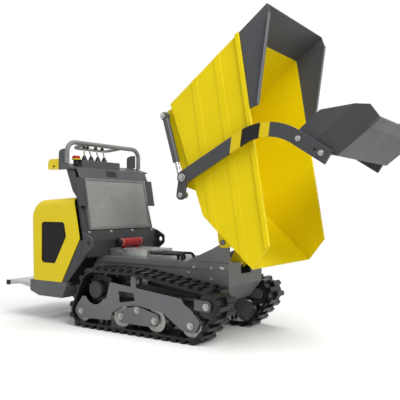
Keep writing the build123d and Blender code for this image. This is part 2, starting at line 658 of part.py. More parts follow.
# Skip guard: a plate above the back wall with a wing down each side of the rim
guard_foot = (RIM_REAR_X, RIM_REAR_Z)
guard_top = (RIM_REAR_X - math.cos(back) * GUARD_RISE, RIM_REAR_Z + math.sin(back) * GUARD_RISE)
guard = plate([guard_foot, guard_top, (guard_top[0] + GUARD_PLATE, guard_top[1]),
               (guard_foot[0] + GUARD_PLATE, guard_foot[1])], -SKIP_HALF, SKIP_HALF)
wing_end = along_rim(rim_run - GUARD_WING, 0)
guard_wing = plate([guard_foot, guard_top, (guard_top[0] + GUARD_EDGE, guard_top[1]),
                    (wing_end[0], wing_end[1] + GUARD_EDGE), wing_end], SKIP_HALF - GUARD_PLATE, SKIP_HALF)
nodes["skip_guard"] = tipped(guard + guard_wing + mirrored(guard_wing))

# Skip hinge brackets: an ear on each side that turns on the tower's pin, and two levers for the cylinder
lever_turn = math.radians(TIP_LEVER_ANGLE)
tip_eye_x = HINGE_X + TIP_LEVER * math.cos(lever_turn)
tip_eye_z = HINGE_Z + TIP_LEVER * math.sin(lever_turn)
ear_in = TOWER_OUT + EAR_GAP
ear_out = ear_in + EAR_PLATE
floor_front = (SKIP_FLOOR_FRONT, SKIP_FLOOR)
lip = (LIP_X, LIP_Z)
slope_length = math.hypot(LIP_X - SKIP_FLOOR_FRONT, LIP_Z - SKIP_FLOOR)
slope_point = between(floor_front, lip, EAR_REACH / slope_length)
ear_outline = [(SKIP_FLOOR_FRONT - 60, SKIP_FLOOR), floor_front, slope_point,
               (HINGE_X + 30, HINGE_Z - 10, 8),
               (HINGE_X + 14, HINGE_Z - 30, 8), (HINGE_X - 16, HINGE_Z - 28, 8)]
ear = plate(ear_outline, ear_in, ear_out) - across(HINGE_X, HINGE_Z, HINGE_PIN + PIN_PLAY, ear_in, ear_out)
lever_outline = [(HINGE_X - 40, HINGE_Z + 26), between(floor_front, lip, LEVER_REACH / slope_length),
                 slope_point,
                 (tip_eye_x + 30, tip_eye_z + 10), (tip_eye_x + 18, tip_eye_z - 26, 6),
                 (tip_eye_x - 20, tip_eye_z - 22, 6), (HINGE_X + 10, HINGE_Z)]
lever = plate(lever_outline, LEVER_HALF, LEVER_HALF + LEVER_PLATE)
nodes["skip_hinge_brackets"] = tipped(both(ear, lever))

# Tipping cylinder: the barrel turns on the chassis pin, the rod's eye lies between the skip's levers
rest_turn = lever_turn - math.radians(TIP_ANGLE)
TIP_EYE_REST = (HINGE_X + TIP_LEVER * math.cos(rest_turn), HINGE_Z + TIP_LEVER * math.sin(rest_turn))
tip_base = Vector(TIP_BASE_X, 0, TIP_BASE_Z)
tip_eye = Vector(TIP_EYE_REST[0], 0, TIP_EYE_REST[1])
tip_way = (tip_eye - tip_base).normalized()
barrel_half = BASE_LUG_IN - 1
barrel_start = tip_base + tip_way * (TIP_BARREL_EYE + HINGE_PIN) / 2
barrel = bar(barrel_start, tip_base + tip_way * TIP_BARREL_LENGTH, TIP_BARREL)
barrel += across(TIP_BASE_X, TIP_BASE_Z, TIP_BARREL_EYE, -barrel_half, barrel_half)
barrel -= across(TIP_BASE_X, TIP_BASE_Z, HINGE_PIN + PIN_PLAY, -barrel_half, barrel_half)
bore_start = tip_base + tip_way * (TIP_ROD_START - 10)
barrel -= bar(bore_start, tip_base + tip_way * (TIP_BARREL_LENGTH + 1), TIP_ROD + PIN_PLAY)
nodes["tip_cylinder_barrel"] = barrel
tip_rod = bar(tip_base + tip_way * TIP_ROD_START, tip_eye - tip_way * (TIP_EYE + HINGE_PIN) / 2, TIP_ROD)
tip_rod += across(tip_eye.X, tip_eye.Z, TIP_EYE, -TIP_EYE_HALF, TIP_EYE_HALF)
tip_rod -= across(tip_eye.X, tip_eye.Z, HINGE_PIN, -TIP_EYE_HALF, TIP_EYE_HALF)
nodes["tip_cylinder_rod"] = tip_rod

# Loader brackets: a plate under each side of the skip's floor with the arm's pin and the cylinder's pin
pivot_x, pivot_z = LOADER_PIVOT
rear_pin_x, rear_pin_z = REAR_PIN_AT
bracket_outline = [(rear_pin_x - 36, SKIP_FLOOR), (rear_pin_x - 30, rear_pin_z - 24, 12),
                   (rear_pin_x + 30, rear_pin_z - 26), (pivot_x - 60, pivot_z - 34),
                   (pivot_x + 40, pivot_z - 40, 12), (pivot_x + 90, SKIP_FLOOR)]
bracket = plate(bracket_outline, BRACKET_IN, BRACKET_OUT)
bracket += across(pivot_x, pivot_z, LOADER_PIN, BRACKET_IN, ARM_OUT + 6)
bracket += across(rear_pin_x, rear_pin_z, REAR_PIN, BRACKET_IN, CYLINDER_Y + CYLINDER_EYE_HALF + 6)
nodes["loader_brackets"] = tipped(both(bracket))

# Loader cylinders: barrel on the rear pin, the rod's eye beside the arm's lever
rod_eye_x, rod_eye_z = ROD_EYE
rear_pin = Vector(rear_pin_x, CYLINDER_Y, rear_pin_z)
rod_eye = Vector(rod_eye_x, CYLINDER_Y, rod_eye_z)
loader_way = (rod_eye - rear_pin).normalized()
eye_y0 = CYLINDER_Y - CYLINDER_EYE_HALF
eye_y1 = CYLINDER_Y + CYLINDER_EYE_HALF
barrel_start = rear_pin + loader_way * (CYLINDER_EYE + REAR_PIN) / 2
loader_barrel = bar(barrel_start, rear_pin + loader_way * CYLINDER_LENGTH, CYLINDER_RADIUS)
loader_barrel += across(rear_pin_x, rear_pin_z, CYLINDER_EYE, eye_y0, eye_y1)
loader_barrel -= across(rear_pin_x, rear_pin_z, REAR_PIN + PIN_PLAY, BRACKET_IN, ARM_OUT)
bore_start = rear_pin + loader_way * (CYLINDER_EYE + CYLINDER_EYE_HALF)
loader_barrel -= bar(bore_start, rear_pin + loader_way * (CYLINDER_LENGTH + 1), ROD_RADIUS + PIN_PLAY)
nodes["loader_cylinder_barrels"] = tipped(both(loader_barrel))
eye_y0 = CYLINDER_Y - ROD_EYE_HALF
eye_y1 = CYLINDER_Y + ROD_EYE_HALF
rod_end = rod_eye - loader_way * (ROD_EYE_RADIUS + ROD_EYE_HOLE) / 2
loader_rod = bar(rear_pin + loader_way * ROD_START, rod_end, ROD_RADIUS)
loader_rod += across(rod_eye_x, rod_eye_z, ROD_EYE_RADIUS, eye_y0, eye_y1)
loader_rod -= across(rod_eye_x, rod_eye_z, ROD_EYE_HOLE, eye_y0, eye_y1)
nodes["loader_cylinder_rods"] = tipped(both(loader_rod))

# Loader arms: plates bent in one sweeping turn, with a lever below the pivot for the rod's eye
arm = curved_strap([LOADER_PIVOT, ARM_CREST, ARM_TIP], ARM_BEND, ARM_WIDTH, ARM_IN, ARM_OUT)
arm += strap(ROD_EYE, LOADER_PIVOT, ARM_LEVER_WIDTH, ARM_IN, ARM_OUT)
arm -= across(pivot_x, pivot_z, LOADER_PIN + PIN_PLAY, ARM_IN, ARM_OUT)
sides("loader_arm", tipped(arm))

# Shovel: floor, back and cheeks with inturned tops, and a lug on each side bolted to the arm
seam = between(SHOVEL_EDGE, SHOVEL_HEEL, CUTTER_LENGTH / math.dist(SHOVEL_EDGE, SHOVEL_HEEL))
shovel = sheet(SHOVEL_HEEL, seam, SHOVEL_PLATE, -SHOVEL_HALF, SHOVEL_HALF)
shovel += sheet(CHEEK_FOLD_REAR, SHOVEL_HEEL, SHOVEL_PLATE, -SHOVEL_HALF, SHOVEL_HALF)
cutter_step = beside(seam, SHOVEL_EDGE, CUTTER_PLATE)
cheek_edge = (SHOVEL_EDGE[0] + cutter_step[0], SHOVEL_EDGE[1] + cutter_step[1])
cheek_seam = (seam[0] + cutter_step[0], seam[1] + cutter_step[1])
cheek = plate([SHOVEL_HEEL, seam, cheek_seam, cheek_edge, CHEEK_TOP_FRONT, CHEEK_FOLD_FRONT,
               CHEEK_FOLD_REAR],
              SHOVEL_HALF - SHOVEL_PLATE, SHOVEL_HALF)
strip_in = SHOVEL_HALF - STRIP_IN
strip_y = SHOVEL_HALF - SHOVEL_PLATE / 2


def strip_top(along):
    """A point on the strips' upper edge, so far forward of the fold's rear end and level with the fold."""
    rise = beside(CHEEK_FOLD_REAR, CHEEK_FOLD_FRONT, STRIP_RISE)
    forward = between(CHEEK_FOLD_REAR, CHEEK_FOLD_FRONT, along / math.dist(CHEEK_FOLD_REAR, CHEEK_FOLD_FRONT))
    return Vector(forward[0] + rise[0], strip_in, forward[1] + rise[1])


fold_rear = Vector(CHEEK_FOLD_REAR[0], strip_y, CHEEK_FOLD_REAR[1])
fold_front = Vector(CHEEK_FOLD_FRONT[0], strip_y, CHEEK_FOLD_FRONT[1])
upper_rear = strip_top(STRIP_REAR)
strip = panel([fold_rear, fold_front, strip_top(STRIP_FRONT), upper_rear], SHOVEL_PLATE)
back_foot = fold_rear - (upper_rear - fold_rear).normalized() * SHOVEL_PLATE
back_top = panel([back_foot, upper_rear, Vector(upper_rear.X, -upper_rear.Y, upper_rear.Z),
                  Vector(back_foot.X, -back_foot.Y, back_foot.Z)], SHOVEL_PLATE)
lug = strap(SHOVEL_LUG_REAR, SHOVEL_LUG_FRONT, SHOVEL_LUG_WIDTH, ARM_IN - SHOVEL_LUG, ARM_IN)
lug_web = [SHOVEL_LUG_REAR, SHOVEL_LUG_FRONT, SHOVEL_HEEL, CHEEK_FOLD_REAR]
lug += plate(lug_web, ARM_IN - SHOVEL_LUG, SHOVEL_HALF)
shovel_side = cheek + strip + lug
nodes["shovel"] = tipped(shovel + back_top + shovel_side + mirrored(shovel_side))
nodes["cutting_edge"] = tipped(sheet(seam, SHOVEL_EDGE, CUTTER_PLATE, -SHOVEL_HALF, SHOVEL_HALF))

# Rear hood: a moulded shell with rounded edges, open in front and below, and a grille window in each side
hood_outline = [(HOOD_REAR + 15, REAR_FLOOR), (HOOD_REAR, HOOD_TOP - HOOD_FALL, HOOD_CORNER),
                (HOOD_FRONT_TOP, HOOD_TOP), HOOD_NOSE, (HOOD_FOOT, REAR_FLOOR)]
hollow_corner = HOOD_CORNER - HOOD_WALL
hood_hollow = [(HOOD_REAR + 15 + HOOD_WALL, REAR_FLOOR - HOOD_OPEN),
               (HOOD_REAR + HOOD_WALL, HOOD_TOP - HOOD_FALL - HOOD_WALL, hollow_corner),
               (HOOD_FRONT_TOP + HOOD_OPEN, HOOD_TOP - HOOD_WALL), (HOOD_NOSE[0] + HOOD_OPEN, HOOD_NOSE[1]),
               (HOOD_FOOT + HOOD_OPEN, REAR_FLOOR - HOOD_OPEN)]


def moulded(points, half, radius):
    """A plate across the machine whose top and rear edges are rounded on both sides."""
    solid = plate(points, -half, half)
    shown = []
    for edge in solid.edges():
        middle = edge.center()
        at_side = abs(abs(middle.Y) - half) < 1
        at_rear = middle.X < points[0][0] + 2 and middle.Z > points[0][1] + 1
        at_top = middle.Z > points[2][1] - HOOD_CORNER and middle.X < points[2][0] - 1
        if at_side and (at_rear or at_top):
            shown.append(edge)
    return fillet(shown, radius)


hood = moulded(hood_outline, HOOD_HALF, HOOD_ROUND)
hood -= moulded(hood_hollow, HOOD_HALF - HOOD_WALL, HOOD_ROUND - HOOD_WALL)


def window_outline(lap):
    """The grille window's outline, grown by a lap."""
    shoulder_x, shoulder_z = WINDOW_SHOULDER
    return [(WINDOW_REAR - lap, WINDOW_TOP + lap, WINDOW_ROUND),
            (WINDOW_FRONT - shoulder_x + lap, WINDOW_TOP + lap, WINDOW_ROUND),
            (WINDOW_FRONT + lap, WINDOW_TOP - shoulder_z, WINDOW_ROUND),
            (WINDOW_FRONT - WINDOW_SLANT + lap, WINDOW_BOTTOM - lap, WINDOW_ROUND),
            (WINDOW_REAR - lap, WINDOW_BOTTOM - lap, WINDOW_ROUND)]


hood -= plate(window_outline(0), -HOOD_HALF, HOOD_HALF)
nodes["hood"] = hood
grille_out = HOOD_HALF - HOOD_WALL - GRILLE_GAP
grille = plate(window_outline(GRILLE_LAP), grille_out - GRILLE_PLATE, grille_out)
nodes["hood_grilles"] = both(grille)
skirt_top = REAR_FLOOR
skirt_outline = [(SKIRT_REAR, skirt_top), (SKIRT_REAR, SKIRT_BOTTOM + SKIRT_KNEE),
                 (SKIRT_REAR + SKIRT_CHAMFER, SKIRT_BOTTOM),
                 (SKIRT_FRONT - SKIRT_RAKE, SKIRT_BOTTOM), (SKIRT_FRONT, skirt_top - SKIRT_EAVE),
                 (SKIRT_FRONT, skirt_top)]
skirt_hollow = [(SKIRT_REAR + SKIRT_WALL, 2 * skirt_top),
                (SKIRT_REAR + SKIRT_WALL, SKIRT_BOTTOM + SKIRT_KNEE + SKIRT_WALL / 2),
                (SKIRT_REAR + SKIRT_CHAMFER, SKIRT_BOTTOM + SKIRT_WALL),
                (SKIRT_FRONT - SKIRT_RAKE - SKIRT_WALL / 2, SKIRT_BOTTOM + SKIRT_WALL),
                (SKIRT_FRONT - SKIRT_WALL, skirt_top - SKIRT_EAVE),
                (SKIRT_FRONT - SKIRT_WALL, 2 * skirt_top)]
skirt = plate(skirt_outline, -HOOD_HALF, HOOD_HALF)
skirt -= plate(skirt_hollow, SKIRT_WALL - HOOD_HALF, HOOD_HALF - SKIRT_WALL)
nodes["skirt"] = skirt
nodes["power_unit"] = block(UNIT_REAR, UNIT_FRONT, -inside, inside, UNIT_BOTTOM, UNIT_TOP)

# Platform: a folded plate on two hinge pins with black end caps, and brackets on the skirt's back
platform = block(PLATFORM_REAR, PLATFORM_FRONT, -PLATFORM_HALF, PLATFORM_HALF,
                 PLATFORM_TOP - PLATFORM_PLATE, PLATFORM_TOP)
platform += block(PLATFORM_REAR, PLATFORM_REAR + PLATFORM_PLATE, -PLATFORM_HALF, PLATFORM_HALF,
                  PLATFORM_TOP - PLATFORM_RIM, PLATFORM_TOP)
side_in = PLATFORM_HALF - PLATFORM_PLATE
cheek_side = plate([(PLATFORM_REAR, PLATFORM_TOP), (PLATFORM_REAR, PLATFORM_TOP - PLATFORM_RIM),
                    (PLATFORM_REAR + PLATFORM_KNEE, PLATFORM_TOP - PLATFORM_RIM / 2),
                    (PLATFORM_FRONT - PLATFORM_RIM, PLATFORM_PIN_Z - 24, 10),
                    (PLATFORM_PIN_X + 4, PLATFORM_PIN_Z - 16, 6),
                    (PLATFORM_PIN_X + 14, PLATFORM_PIN_Z, 6), (PLATFORM_PIN_X + 6, PLATFORM_TOP)], side_in,
                    PLATFORM_HALF)
cheek_side -= across(PLATFORM_PIN_X, PLATFORM_PIN_Z, PLATFORM_PIN + PIN_PLAY, side_in, PLATFORM_HALF)
nodes["platform"] = platform + cheek_side + mirrored(cheek_side)
nodes["platform_buffers"] = both(block(PLATFORM_REAR, PLATFORM_REAR + BUFFER_LENGTH, PLATFORM_HALF,
                                       PLATFORM_HALF + BUFFER_PLATE, PLATFORM_TOP - PLATFORM_RIM,
                                       PLATFORM_TOP))
hinge_in = PLATFORM_HALF + HINGE_CLEAR
hinge_out = hinge_in + HINGE_PLATE
hinge_plate = plate([(SKIRT_REAR, skirt_top - 14), (SKIRT_REAR, PLATFORM_PIN_Z - 24),
                     (PLATFORM_PIN_X - 14, PLATFORM_PIN_Z - 14, 6),
                     (PLATFORM_PIN_X - 14, PLATFORM_PIN_Z + 6, 6),
                     (SKIRT_REAR - 12, skirt_top - 14)], hinge_in, hinge_out)
hinge_plate += across(PLATFORM_PIN_X, PLATFORM_PIN_Z, PLATFORM_PIN, side_in - PLATFORM_PLATE, hinge_out)
nodes["platform_brackets"] = both(hinge_plate)

# Bulkhead: the dark plate in front of the hood, from the deck's rear end down to the skirt
bulkhead_foot = (SKIRT_FRONT + BULKHEAD_PLATE, skirt_top - SKIRT_EAVE)
bulkhead_top = (DECK_REAR - BULKHEAD_PLATE, CHASSIS_TOP - BULKHEAD_PLATE)
bulkhead = sheet(bulkhead_foot, bulkhead_top, BULKHEAD_PLATE, CHASSIS_HALF, BULKHEAD_HALF)
nodes["bulkhead"] = both(bulkhead)

# Console frame: posts with struts down to the skirt, side wings beside the mesh and a closed foot
post_rear = POST_FOOT_X - POST_FOOT_DEPTH
post_in = CONSOLE_HALF - POST_WIDTH
post = plate([(PANEL_REAR[0] + 12, POST_TOP_Z), (PANEL_FRONT[0] - 27, POST_TOP_Z),
              (POST_FOOT_X, POST_KNEE_Z),
              (POST_FOOT_X, CHASSIS_TOP), (post_rear, CHASSIS_TOP), (post_rear, HOOD_NOSE[1]),
              (HOOD_FRONT_TOP + 8, HOOD_TOP + 4), (HOOD_FRONT_TOP - 30, HOOD_TOP + 47)], post_in,
              CONSOLE_HALF)


def hood_edge(z, gap):
    """A point beside the hood's lower front edge at a height."""
    share = (HOOD_NOSE[1] - z) / (HOOD_NOSE[1] - REAR_FLOOR)
    return (HOOD_NOSE[0] + (HOOD_FOOT - HOOD_NOSE[0]) * share + gap, z)


post += plate([hood_edge(HOOD_NOSE[1] - 4, 8), (POST_FOOT_X, POST_KNEE_Z), (POST_FOOT_X, CHASSIS_TOP + 6),
               (SKIRT_FRONT, skirt_top), hood_edge(skirt_top, 8)], CONSOLE_HALF, CONSOLE_HALF + STRUT_WIDTH)


def on_mesh(share, lift):
    """A point on the mesh guard's slope: so far up it, and so far in front of it."""
    run_x = MESH_TOP[0] - MESH_FOOT[0]
    run_z = MESH_TOP[1] - MESH_FOOT[1]
    return (MESH_FOOT[0] + run_x * share + lift, MESH_FOOT[1] + run_z * share)


wing_lift = MESH_PLATE + RUN_GAP
side_wing = plate([on_mesh(WING_FOOT, wing_lift), on_mesh(1, wing_lift), on_mesh(1, wing_lift + WING_PLATE),
                   on_mesh(WING_FOOT, wing_lift + WING_PLATE)], WING_IN, WING_OUT)
side_wing += plate([on_mesh(WING_FOOT, -MESH_FLANGE / 2), on_mesh(1, -MESH_FLANGE / 2),
                    on_mesh(1, wing_lift + WING_PLATE),
                    on_mesh(WING_FOOT, wing_lift + WING_PLATE)], CONSOLE_HALF, CONSOLE_HALF + WING_PLATE)
console_side = post + side_wing
console = console_side + mirrored(console_side)
base_front = POST_FOOT_X + BASE_PLATE
console += plate([(POST_FOOT_X + 4, BASE_PLATE_TOP), (base_front, POST_KNEE_Z), (base_front, CHASSIS_TOP),
                  (POST_FOOT_X, CHASSIS_TOP), (POST_FOOT_X, POST_KNEE_Z),
                  (POST_FOOT_X - 8, BASE_PLATE_TOP)],
                 -CONSOLE_HALF, CONSOLE_HALF)
nodes["console_frame"] = console

# Console panel: a sloped top with a raised valve cover, and an apron down to the mesh
panel_outline = [PANEL_REAR, PANEL_FRONT, (PANEL_FRONT[0], POST_TOP_Z), (PANEL_REAR[0], POST_TOP_Z)]
console_panel = plate(panel_outline, -PANEL_HALF, PANEL_HALF)


def panel_height(x):
    """The height of the panel's sloped top at x."""
    share = (x - PANEL_REAR[0]) / (PANEL_FRONT[0] - PANEL_REAR[0])
    return PANEL_REAR[1] + (PANEL_FRONT[1] - PANEL_REAR[1]) * share


valve_x0, valve_x1 = VALVE_BLOCK_XS
console_panel += plate([(valve_x0, POST_TOP_Z), (valve_x0, VALVE_BLOCK_TOP, 6),
                        (valve_x1, VALVE_BLOCK_TOP, 6),
                        (valve_x1, POST_TOP_Z)], *VALVE_BLOCK_YS)
apron_foot = (MESH_TOP[0] + MESH_PLATE, MESH_TOP[1] + RUN_GAP)
console_panel += plate([PANEL_FRONT, apron_foot, (apron_foot[0] - APRON_PLATE, apron_foot[1]),
                        (PANEL_FRONT[0] - APRON_PLATE, POST_TOP_Z)], -CONSOLE_HALF, CONSOLE_HALF)
nodes["console_panel"] = console_panel

# Mesh guard: a framed sheet of fine wire mesh with a flange at each side on the posts
mesh_half = CONSOLE_HALF - POST_WIDTH
mesh = plate([on_mesh(0, 0), on_mesh(1, 0), on_mesh(1, MESH_PLATE), on_mesh(0, MESH_PLATE)], -mesh_half,
             mesh_half)
rim_share = MESH_RIM / math.dist(MESH_FOOT, MESH_TOP)
mesh -= plate([on_mesh(rim_share, MESH_SHEET), on_mesh(1 - rim_share, MESH_SHEET),
               on_mesh(1 - rim_share, MESH_FLANGE),
               on_mesh(rim_share, MESH_FLANGE)], MESH_RIM - mesh_half, mesh_half - MESH_RIM)
flange = plate([on_mesh(0, -MESH_FLANGE), on_mesh(1, -MESH_FLANGE), on_mesh(1, 0), on_mesh(0, 0)],
               mesh_half - MESH_FLANGE_PLATE, mesh_half)
nodes["mesh_guard"] = mesh + flange + mirrored(flange)

# Hand hoop: a bent tube on the panel with a lower grab rail behind it, and a shield beside each leg
hoop_y = PANEL_HALF - HOOP_TUBE
hoop_seat = panel_height(HOOP_X - HOOP_TUBE) + RUN_GAP
bar_z = HOOP_TOP - HOOP_TUBE
hoop = tube([(HOOP_X, -hoop_y, hoop_seat), (HOOP_X, -hoop_y, bar_z), (HOOP_X, hoop_y, bar_z),
             (HOOP_X, hoop_y, hoop_seat)], HOOP_TUBE, HOOP_BEND)
rail_x = HOOP_X - RAIL_REACH
rail_z = bar_z - RAIL_DROP
rail_rear = RAIL_HALF - RAIL_TAPER
hoop += tube([(HOOP_X, -RAIL_HALF, bar_z), (rail_x, -rail_rear, rail_z), (rail_x, rail_rear, rail_z),
              (HOOP_X, RAIL_HALF, bar_z)], RAIL_TUBE, RAIL_BEND)
nodes["hand_hoop"] = hoop
shield_out = hoop_y - HOOP_TUBE - RUN_GAP
shield_in = shield_out - SHIELD_PLATE
shield_front = HOOP_X - HOOP_TUBE - RUN_GAP
shield_lift = PANEL_REAR[1] + 2
shield = plate([(PANEL_REAR[0], POST_TOP_Z), (SHIELD_REAR, POST_TOP_Z, 6),
                (SHIELD_REAR, SHIELD_TOP - 10, SHIELD_ROUND),
                (SHIELD_REAR + 44, SHIELD_TOP, SHIELD_ROUND), (shield_front, SHIELD_TOP, 8),
                (shield_front, shield_lift),
                (PANEL_REAR[0], shield_lift)], shield_in, shield_out)
nodes["hoop_shields"] = both(shield)
nodes["hand_guard"] = plate([(SHIELD_REAR + 14, HAND_GUARD_Z0), (HAND_GUARD_REAR, HAND_GUARD_Z0, 6),
                             (HAND_GUARD_REAR, HAND_GUARD_Z1, HAND_GUARD_ROUND),
                             (SHIELD_REAR + 14, HAND_GUARD_Z1)],
                            -shield_in, HAND_GUARD_WIDTH - shield_in)

# Controls: four leaning levers in rubber boots and a stop button
levers = []
boots = []
for y, lean in zip(LEVER_YS, LEVER_LEANS):
    boot_base = Plane(origin=(CONTROL_X, y, VALVE_BLOCK_TOP))
    boots.append(boot_base * Cone(BOOT_RADIUS, BOOT_NECK, BOOT_HEIGHT,
                                  align=(Align.CENTER, Align.CENTER, Align.MIN)))
    foot = (CONTROL_X, y, VALVE_BLOCK_TOP + BOOT_HEIGHT + RUN_GAP + LEVER_ROD * abs(lean) / BOOT_HEIGHT / 2)
    knob = (CONTROL_X, y + lean, LEVER_TOP)
    levers.append(bar(foot, knob, LEVER_ROD) + Pos(*knob) * Sphere(LEVER_KNOB))
nodes["control_levers"] = Compound(levers)
stop_seat = panel_height(CONTROL_X - STOP_BODY)
stop_base = bar((CONTROL_X, STOP_Y, stop_seat), (CONTROL_X, STOP_Y, stop_seat + STOP_BODY_HEIGHT),
                STOP_BODY)
nodes["lever_boots"] = Compound([*boots, stop_base])
cap_z = stop_seat + STOP_BODY_HEIGHT
stop_cap = bar((CONTROL_X, STOP_Y, cap_z), (CONTROL_X, STOP_Y, cap_z + STOP_CAP_HEIGHT), STOP_CAP)
nodes["stop_button"] = fillet(stop_cap.edges().group_by(Axis.Z)[-1], STOP_CAP_HEIGHT / 2)

# Lashing eyes: a plate beside each post's foot with a hole for a shackle
eye_rear = POST_FOOT_X - 8
eye_outline = [(eye_rear, BASE_PLATE_TOP - 10), (POST_FOOT_X, BASE_PLATE_TOP - 10),
               (EYE_X + EYE_ROUND, EYE_Z + EYE_ROUND - 4, EYE_ROUND - 8),
               (EYE_X + EYE_ROUND, EYE_Z - EYE_ROUND + 4, EYE_ROUND - 8),
               (eye_rear, CHASSIS_TOP)]
eye_in = EYE_OUT - EYE_PLATE
lashing = plate(eye_outline, eye_in, EYE_OUT) - across(EYE_X, EYE_Z, EYE_HOLE, eye_in, EYE_OUT)
eye_foot = block(POST_FOOT_X, base_front, CONSOLE_HALF, eye_in, CHASSIS_TOP + 15, POST_KNEE_Z)
nodes["lashing_eyes"] = both(lashing + eye_foot)

# Deck: a zinc tray with a red document tube on it, and two looped hoses into the deck
tray_top = CHASSIS_TOP + TRAY_HEIGHT
nodes["deck_tray"] = block(TRAY_REAR, TRAY_FRONT, *TRAY_YS, CHASSIS_TOP, tray_top)
tube_z = tray_top + TUBE_LIFT + TUBE_RADIUS
document_tube = bar((TUBE_X, TUBE_YS[0] - TUBE_CAP, tube_z), (TUBE_X, TUBE_YS[1] + TUBE_CAP, tube_z),
                    TUBE_RADIUS)
for y in between((TUBE_YS[0], TUBE_YS[1]), (TUBE_YS[1], TUBE_YS[0]), 0.2):
    document_tube += block(TUBE_X - TUBE_RADIUS / 2, TUBE_X + TUBE_RADIUS / 2, y - 10, y + 10, tray_top,
                           tube_z)
nodes["document_tube"] = document_tube
hoses = []
for index, (y0, y1) in enumerate(HOSE_LOOPS):
    z = CHASSIS_TOP + HOSE_RADIUS + RUN_GAP
    rear = HOSE_REAR + index * HOSE_STEP
    front = HOSE_FRONT - index * HOSE_STEP * 2
    turn = (y1 - y0) / 2 - RUN_GAP
    lift = z + HOSE_STEP
    hoses.append(tube([(front, y0, CHASSIS_TOP), (front, y0, lift), (rear, y0, lift), (rear, y1, lift),
                       (front, y1, lift),
                       (front, y1, CHASSIS_TOP)], HOSE_RADIUS, HOSE_STEP))
nodes["hydraulic_hoses"] = Compound(hoses)

# The origin lies on the ground under the middle of the machine
low_x = min(piece.bounding_box().min.X for piece in nodes.values())
high_x = max(piece.bounding_box().max.X for piece in nodes.values())
MIDDLE_X = (low_x + high_x) / 2
os.makedirs("parts", exist_ok=True)
for name, piece in nodes.items():
    export_step(Pos(-MIDDLE_X, 0, 0) * Compound(piece.solids()), f"parts/{name}.step")
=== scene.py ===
import math

import bpy
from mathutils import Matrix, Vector


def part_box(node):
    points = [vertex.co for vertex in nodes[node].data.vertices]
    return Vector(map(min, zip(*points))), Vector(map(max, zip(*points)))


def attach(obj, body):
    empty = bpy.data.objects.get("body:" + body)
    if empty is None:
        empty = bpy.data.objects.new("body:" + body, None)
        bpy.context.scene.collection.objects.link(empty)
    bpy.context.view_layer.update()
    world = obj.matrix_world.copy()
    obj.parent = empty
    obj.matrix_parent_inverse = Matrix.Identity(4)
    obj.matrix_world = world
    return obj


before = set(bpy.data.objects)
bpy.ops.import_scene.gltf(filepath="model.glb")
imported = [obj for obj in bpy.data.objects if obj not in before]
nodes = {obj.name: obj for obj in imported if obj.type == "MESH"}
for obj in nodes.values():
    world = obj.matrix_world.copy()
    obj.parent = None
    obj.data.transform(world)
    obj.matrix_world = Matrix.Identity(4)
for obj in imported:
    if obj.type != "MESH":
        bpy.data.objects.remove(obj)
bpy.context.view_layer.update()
bpy.ops.object.select_all(action="DESELECT")

# Studio floor: a white sheet under the machine. It is matt round the machine, where the shadow lies, and
# fades to the white of the surround further out, so that it meets it without a line.
floor_width = 60.0
floor_drop = 0.0005
floor_tone = 0.88
fade_from, fade_to = 0.9, 2.3
least_glow = 0.05
bpy.ops.mesh.primitive_plane_add(size=floor_width, location=(0, 0, -floor_drop))
floor = bpy.context.object
floor.name = "studio_floor"
bpy.ops.object.transform_apply(location=True)
floor_paint = bpy.data.materials.new("studio_white")
floor_paint.use_nodes = True
floor_tree = floor_paint.node_tree
floor_tree.nodes.clear()
floor_out = floor_tree.nodes.new("ShaderNodeOutputMaterial")
floor_matt = floor_tree.nodes.new("ShaderNodeBsdfDiffuse")
floor_matt.inputs["Color"].default_value = (floor_tone, floor_tone, floor_tone, 1)
floor_glow = floor_tree.nodes.new("ShaderNodeEmission")
floor_glow.inputs["Strength"].default_value = 1.0
floor_seen = floor_tree.nodes.new("ShaderNodeLightPath")
floor_place = floor_tree.nodes.new("ShaderNodeTexCoord")
floor_reach = floor_tree.nodes.new("ShaderNodeVectorMath")
floor_reach.operation = "LENGTH"
floor_fade = floor_tree.nodes.new("ShaderNodeMapRange")
floor_fade.interpolation_type = "SMOOTHSTEP"
floor_fade.inputs["From Min"].default_value = fade_from
floor_fade.inputs["From Max"].default_value = fade_to
floor_fade.inputs["To Min"].default_value = least_glow
floor_share = floor_tree.nodes.new("ShaderNodeMath")
floor_share.operation = "MULTIPLY"
floor_pick = floor_tree.nodes.new("ShaderNodeMixShader")
floor_tree.links.new(floor_place.outputs["Object"], floor_reach.inputs[0])
floor_tree.links.new(floor_reach.outputs["Value"], floor_fade.inputs["Value"])
floor_tree.links.new(floor_fade.outputs[0], floor_share.inputs[0])
floor_tree.links.new(floor_seen.outputs["Is Camera Ray"], floor_share.inputs[1])
floor_tree.links.new(floor_share.outputs[0], floor_pick.inputs["Fac"])
floor_tree.links.new(floor_matt.outputs[0], floor_pick.inputs[1])
floor_tree.links.new(floor_glow.outputs[0], floor_pick.inputs[2])
floor_tree.links.new(floor_pick.outputs[0], floor_out.inputs["Surface"])
floor.data.materials.append(floor_paint)

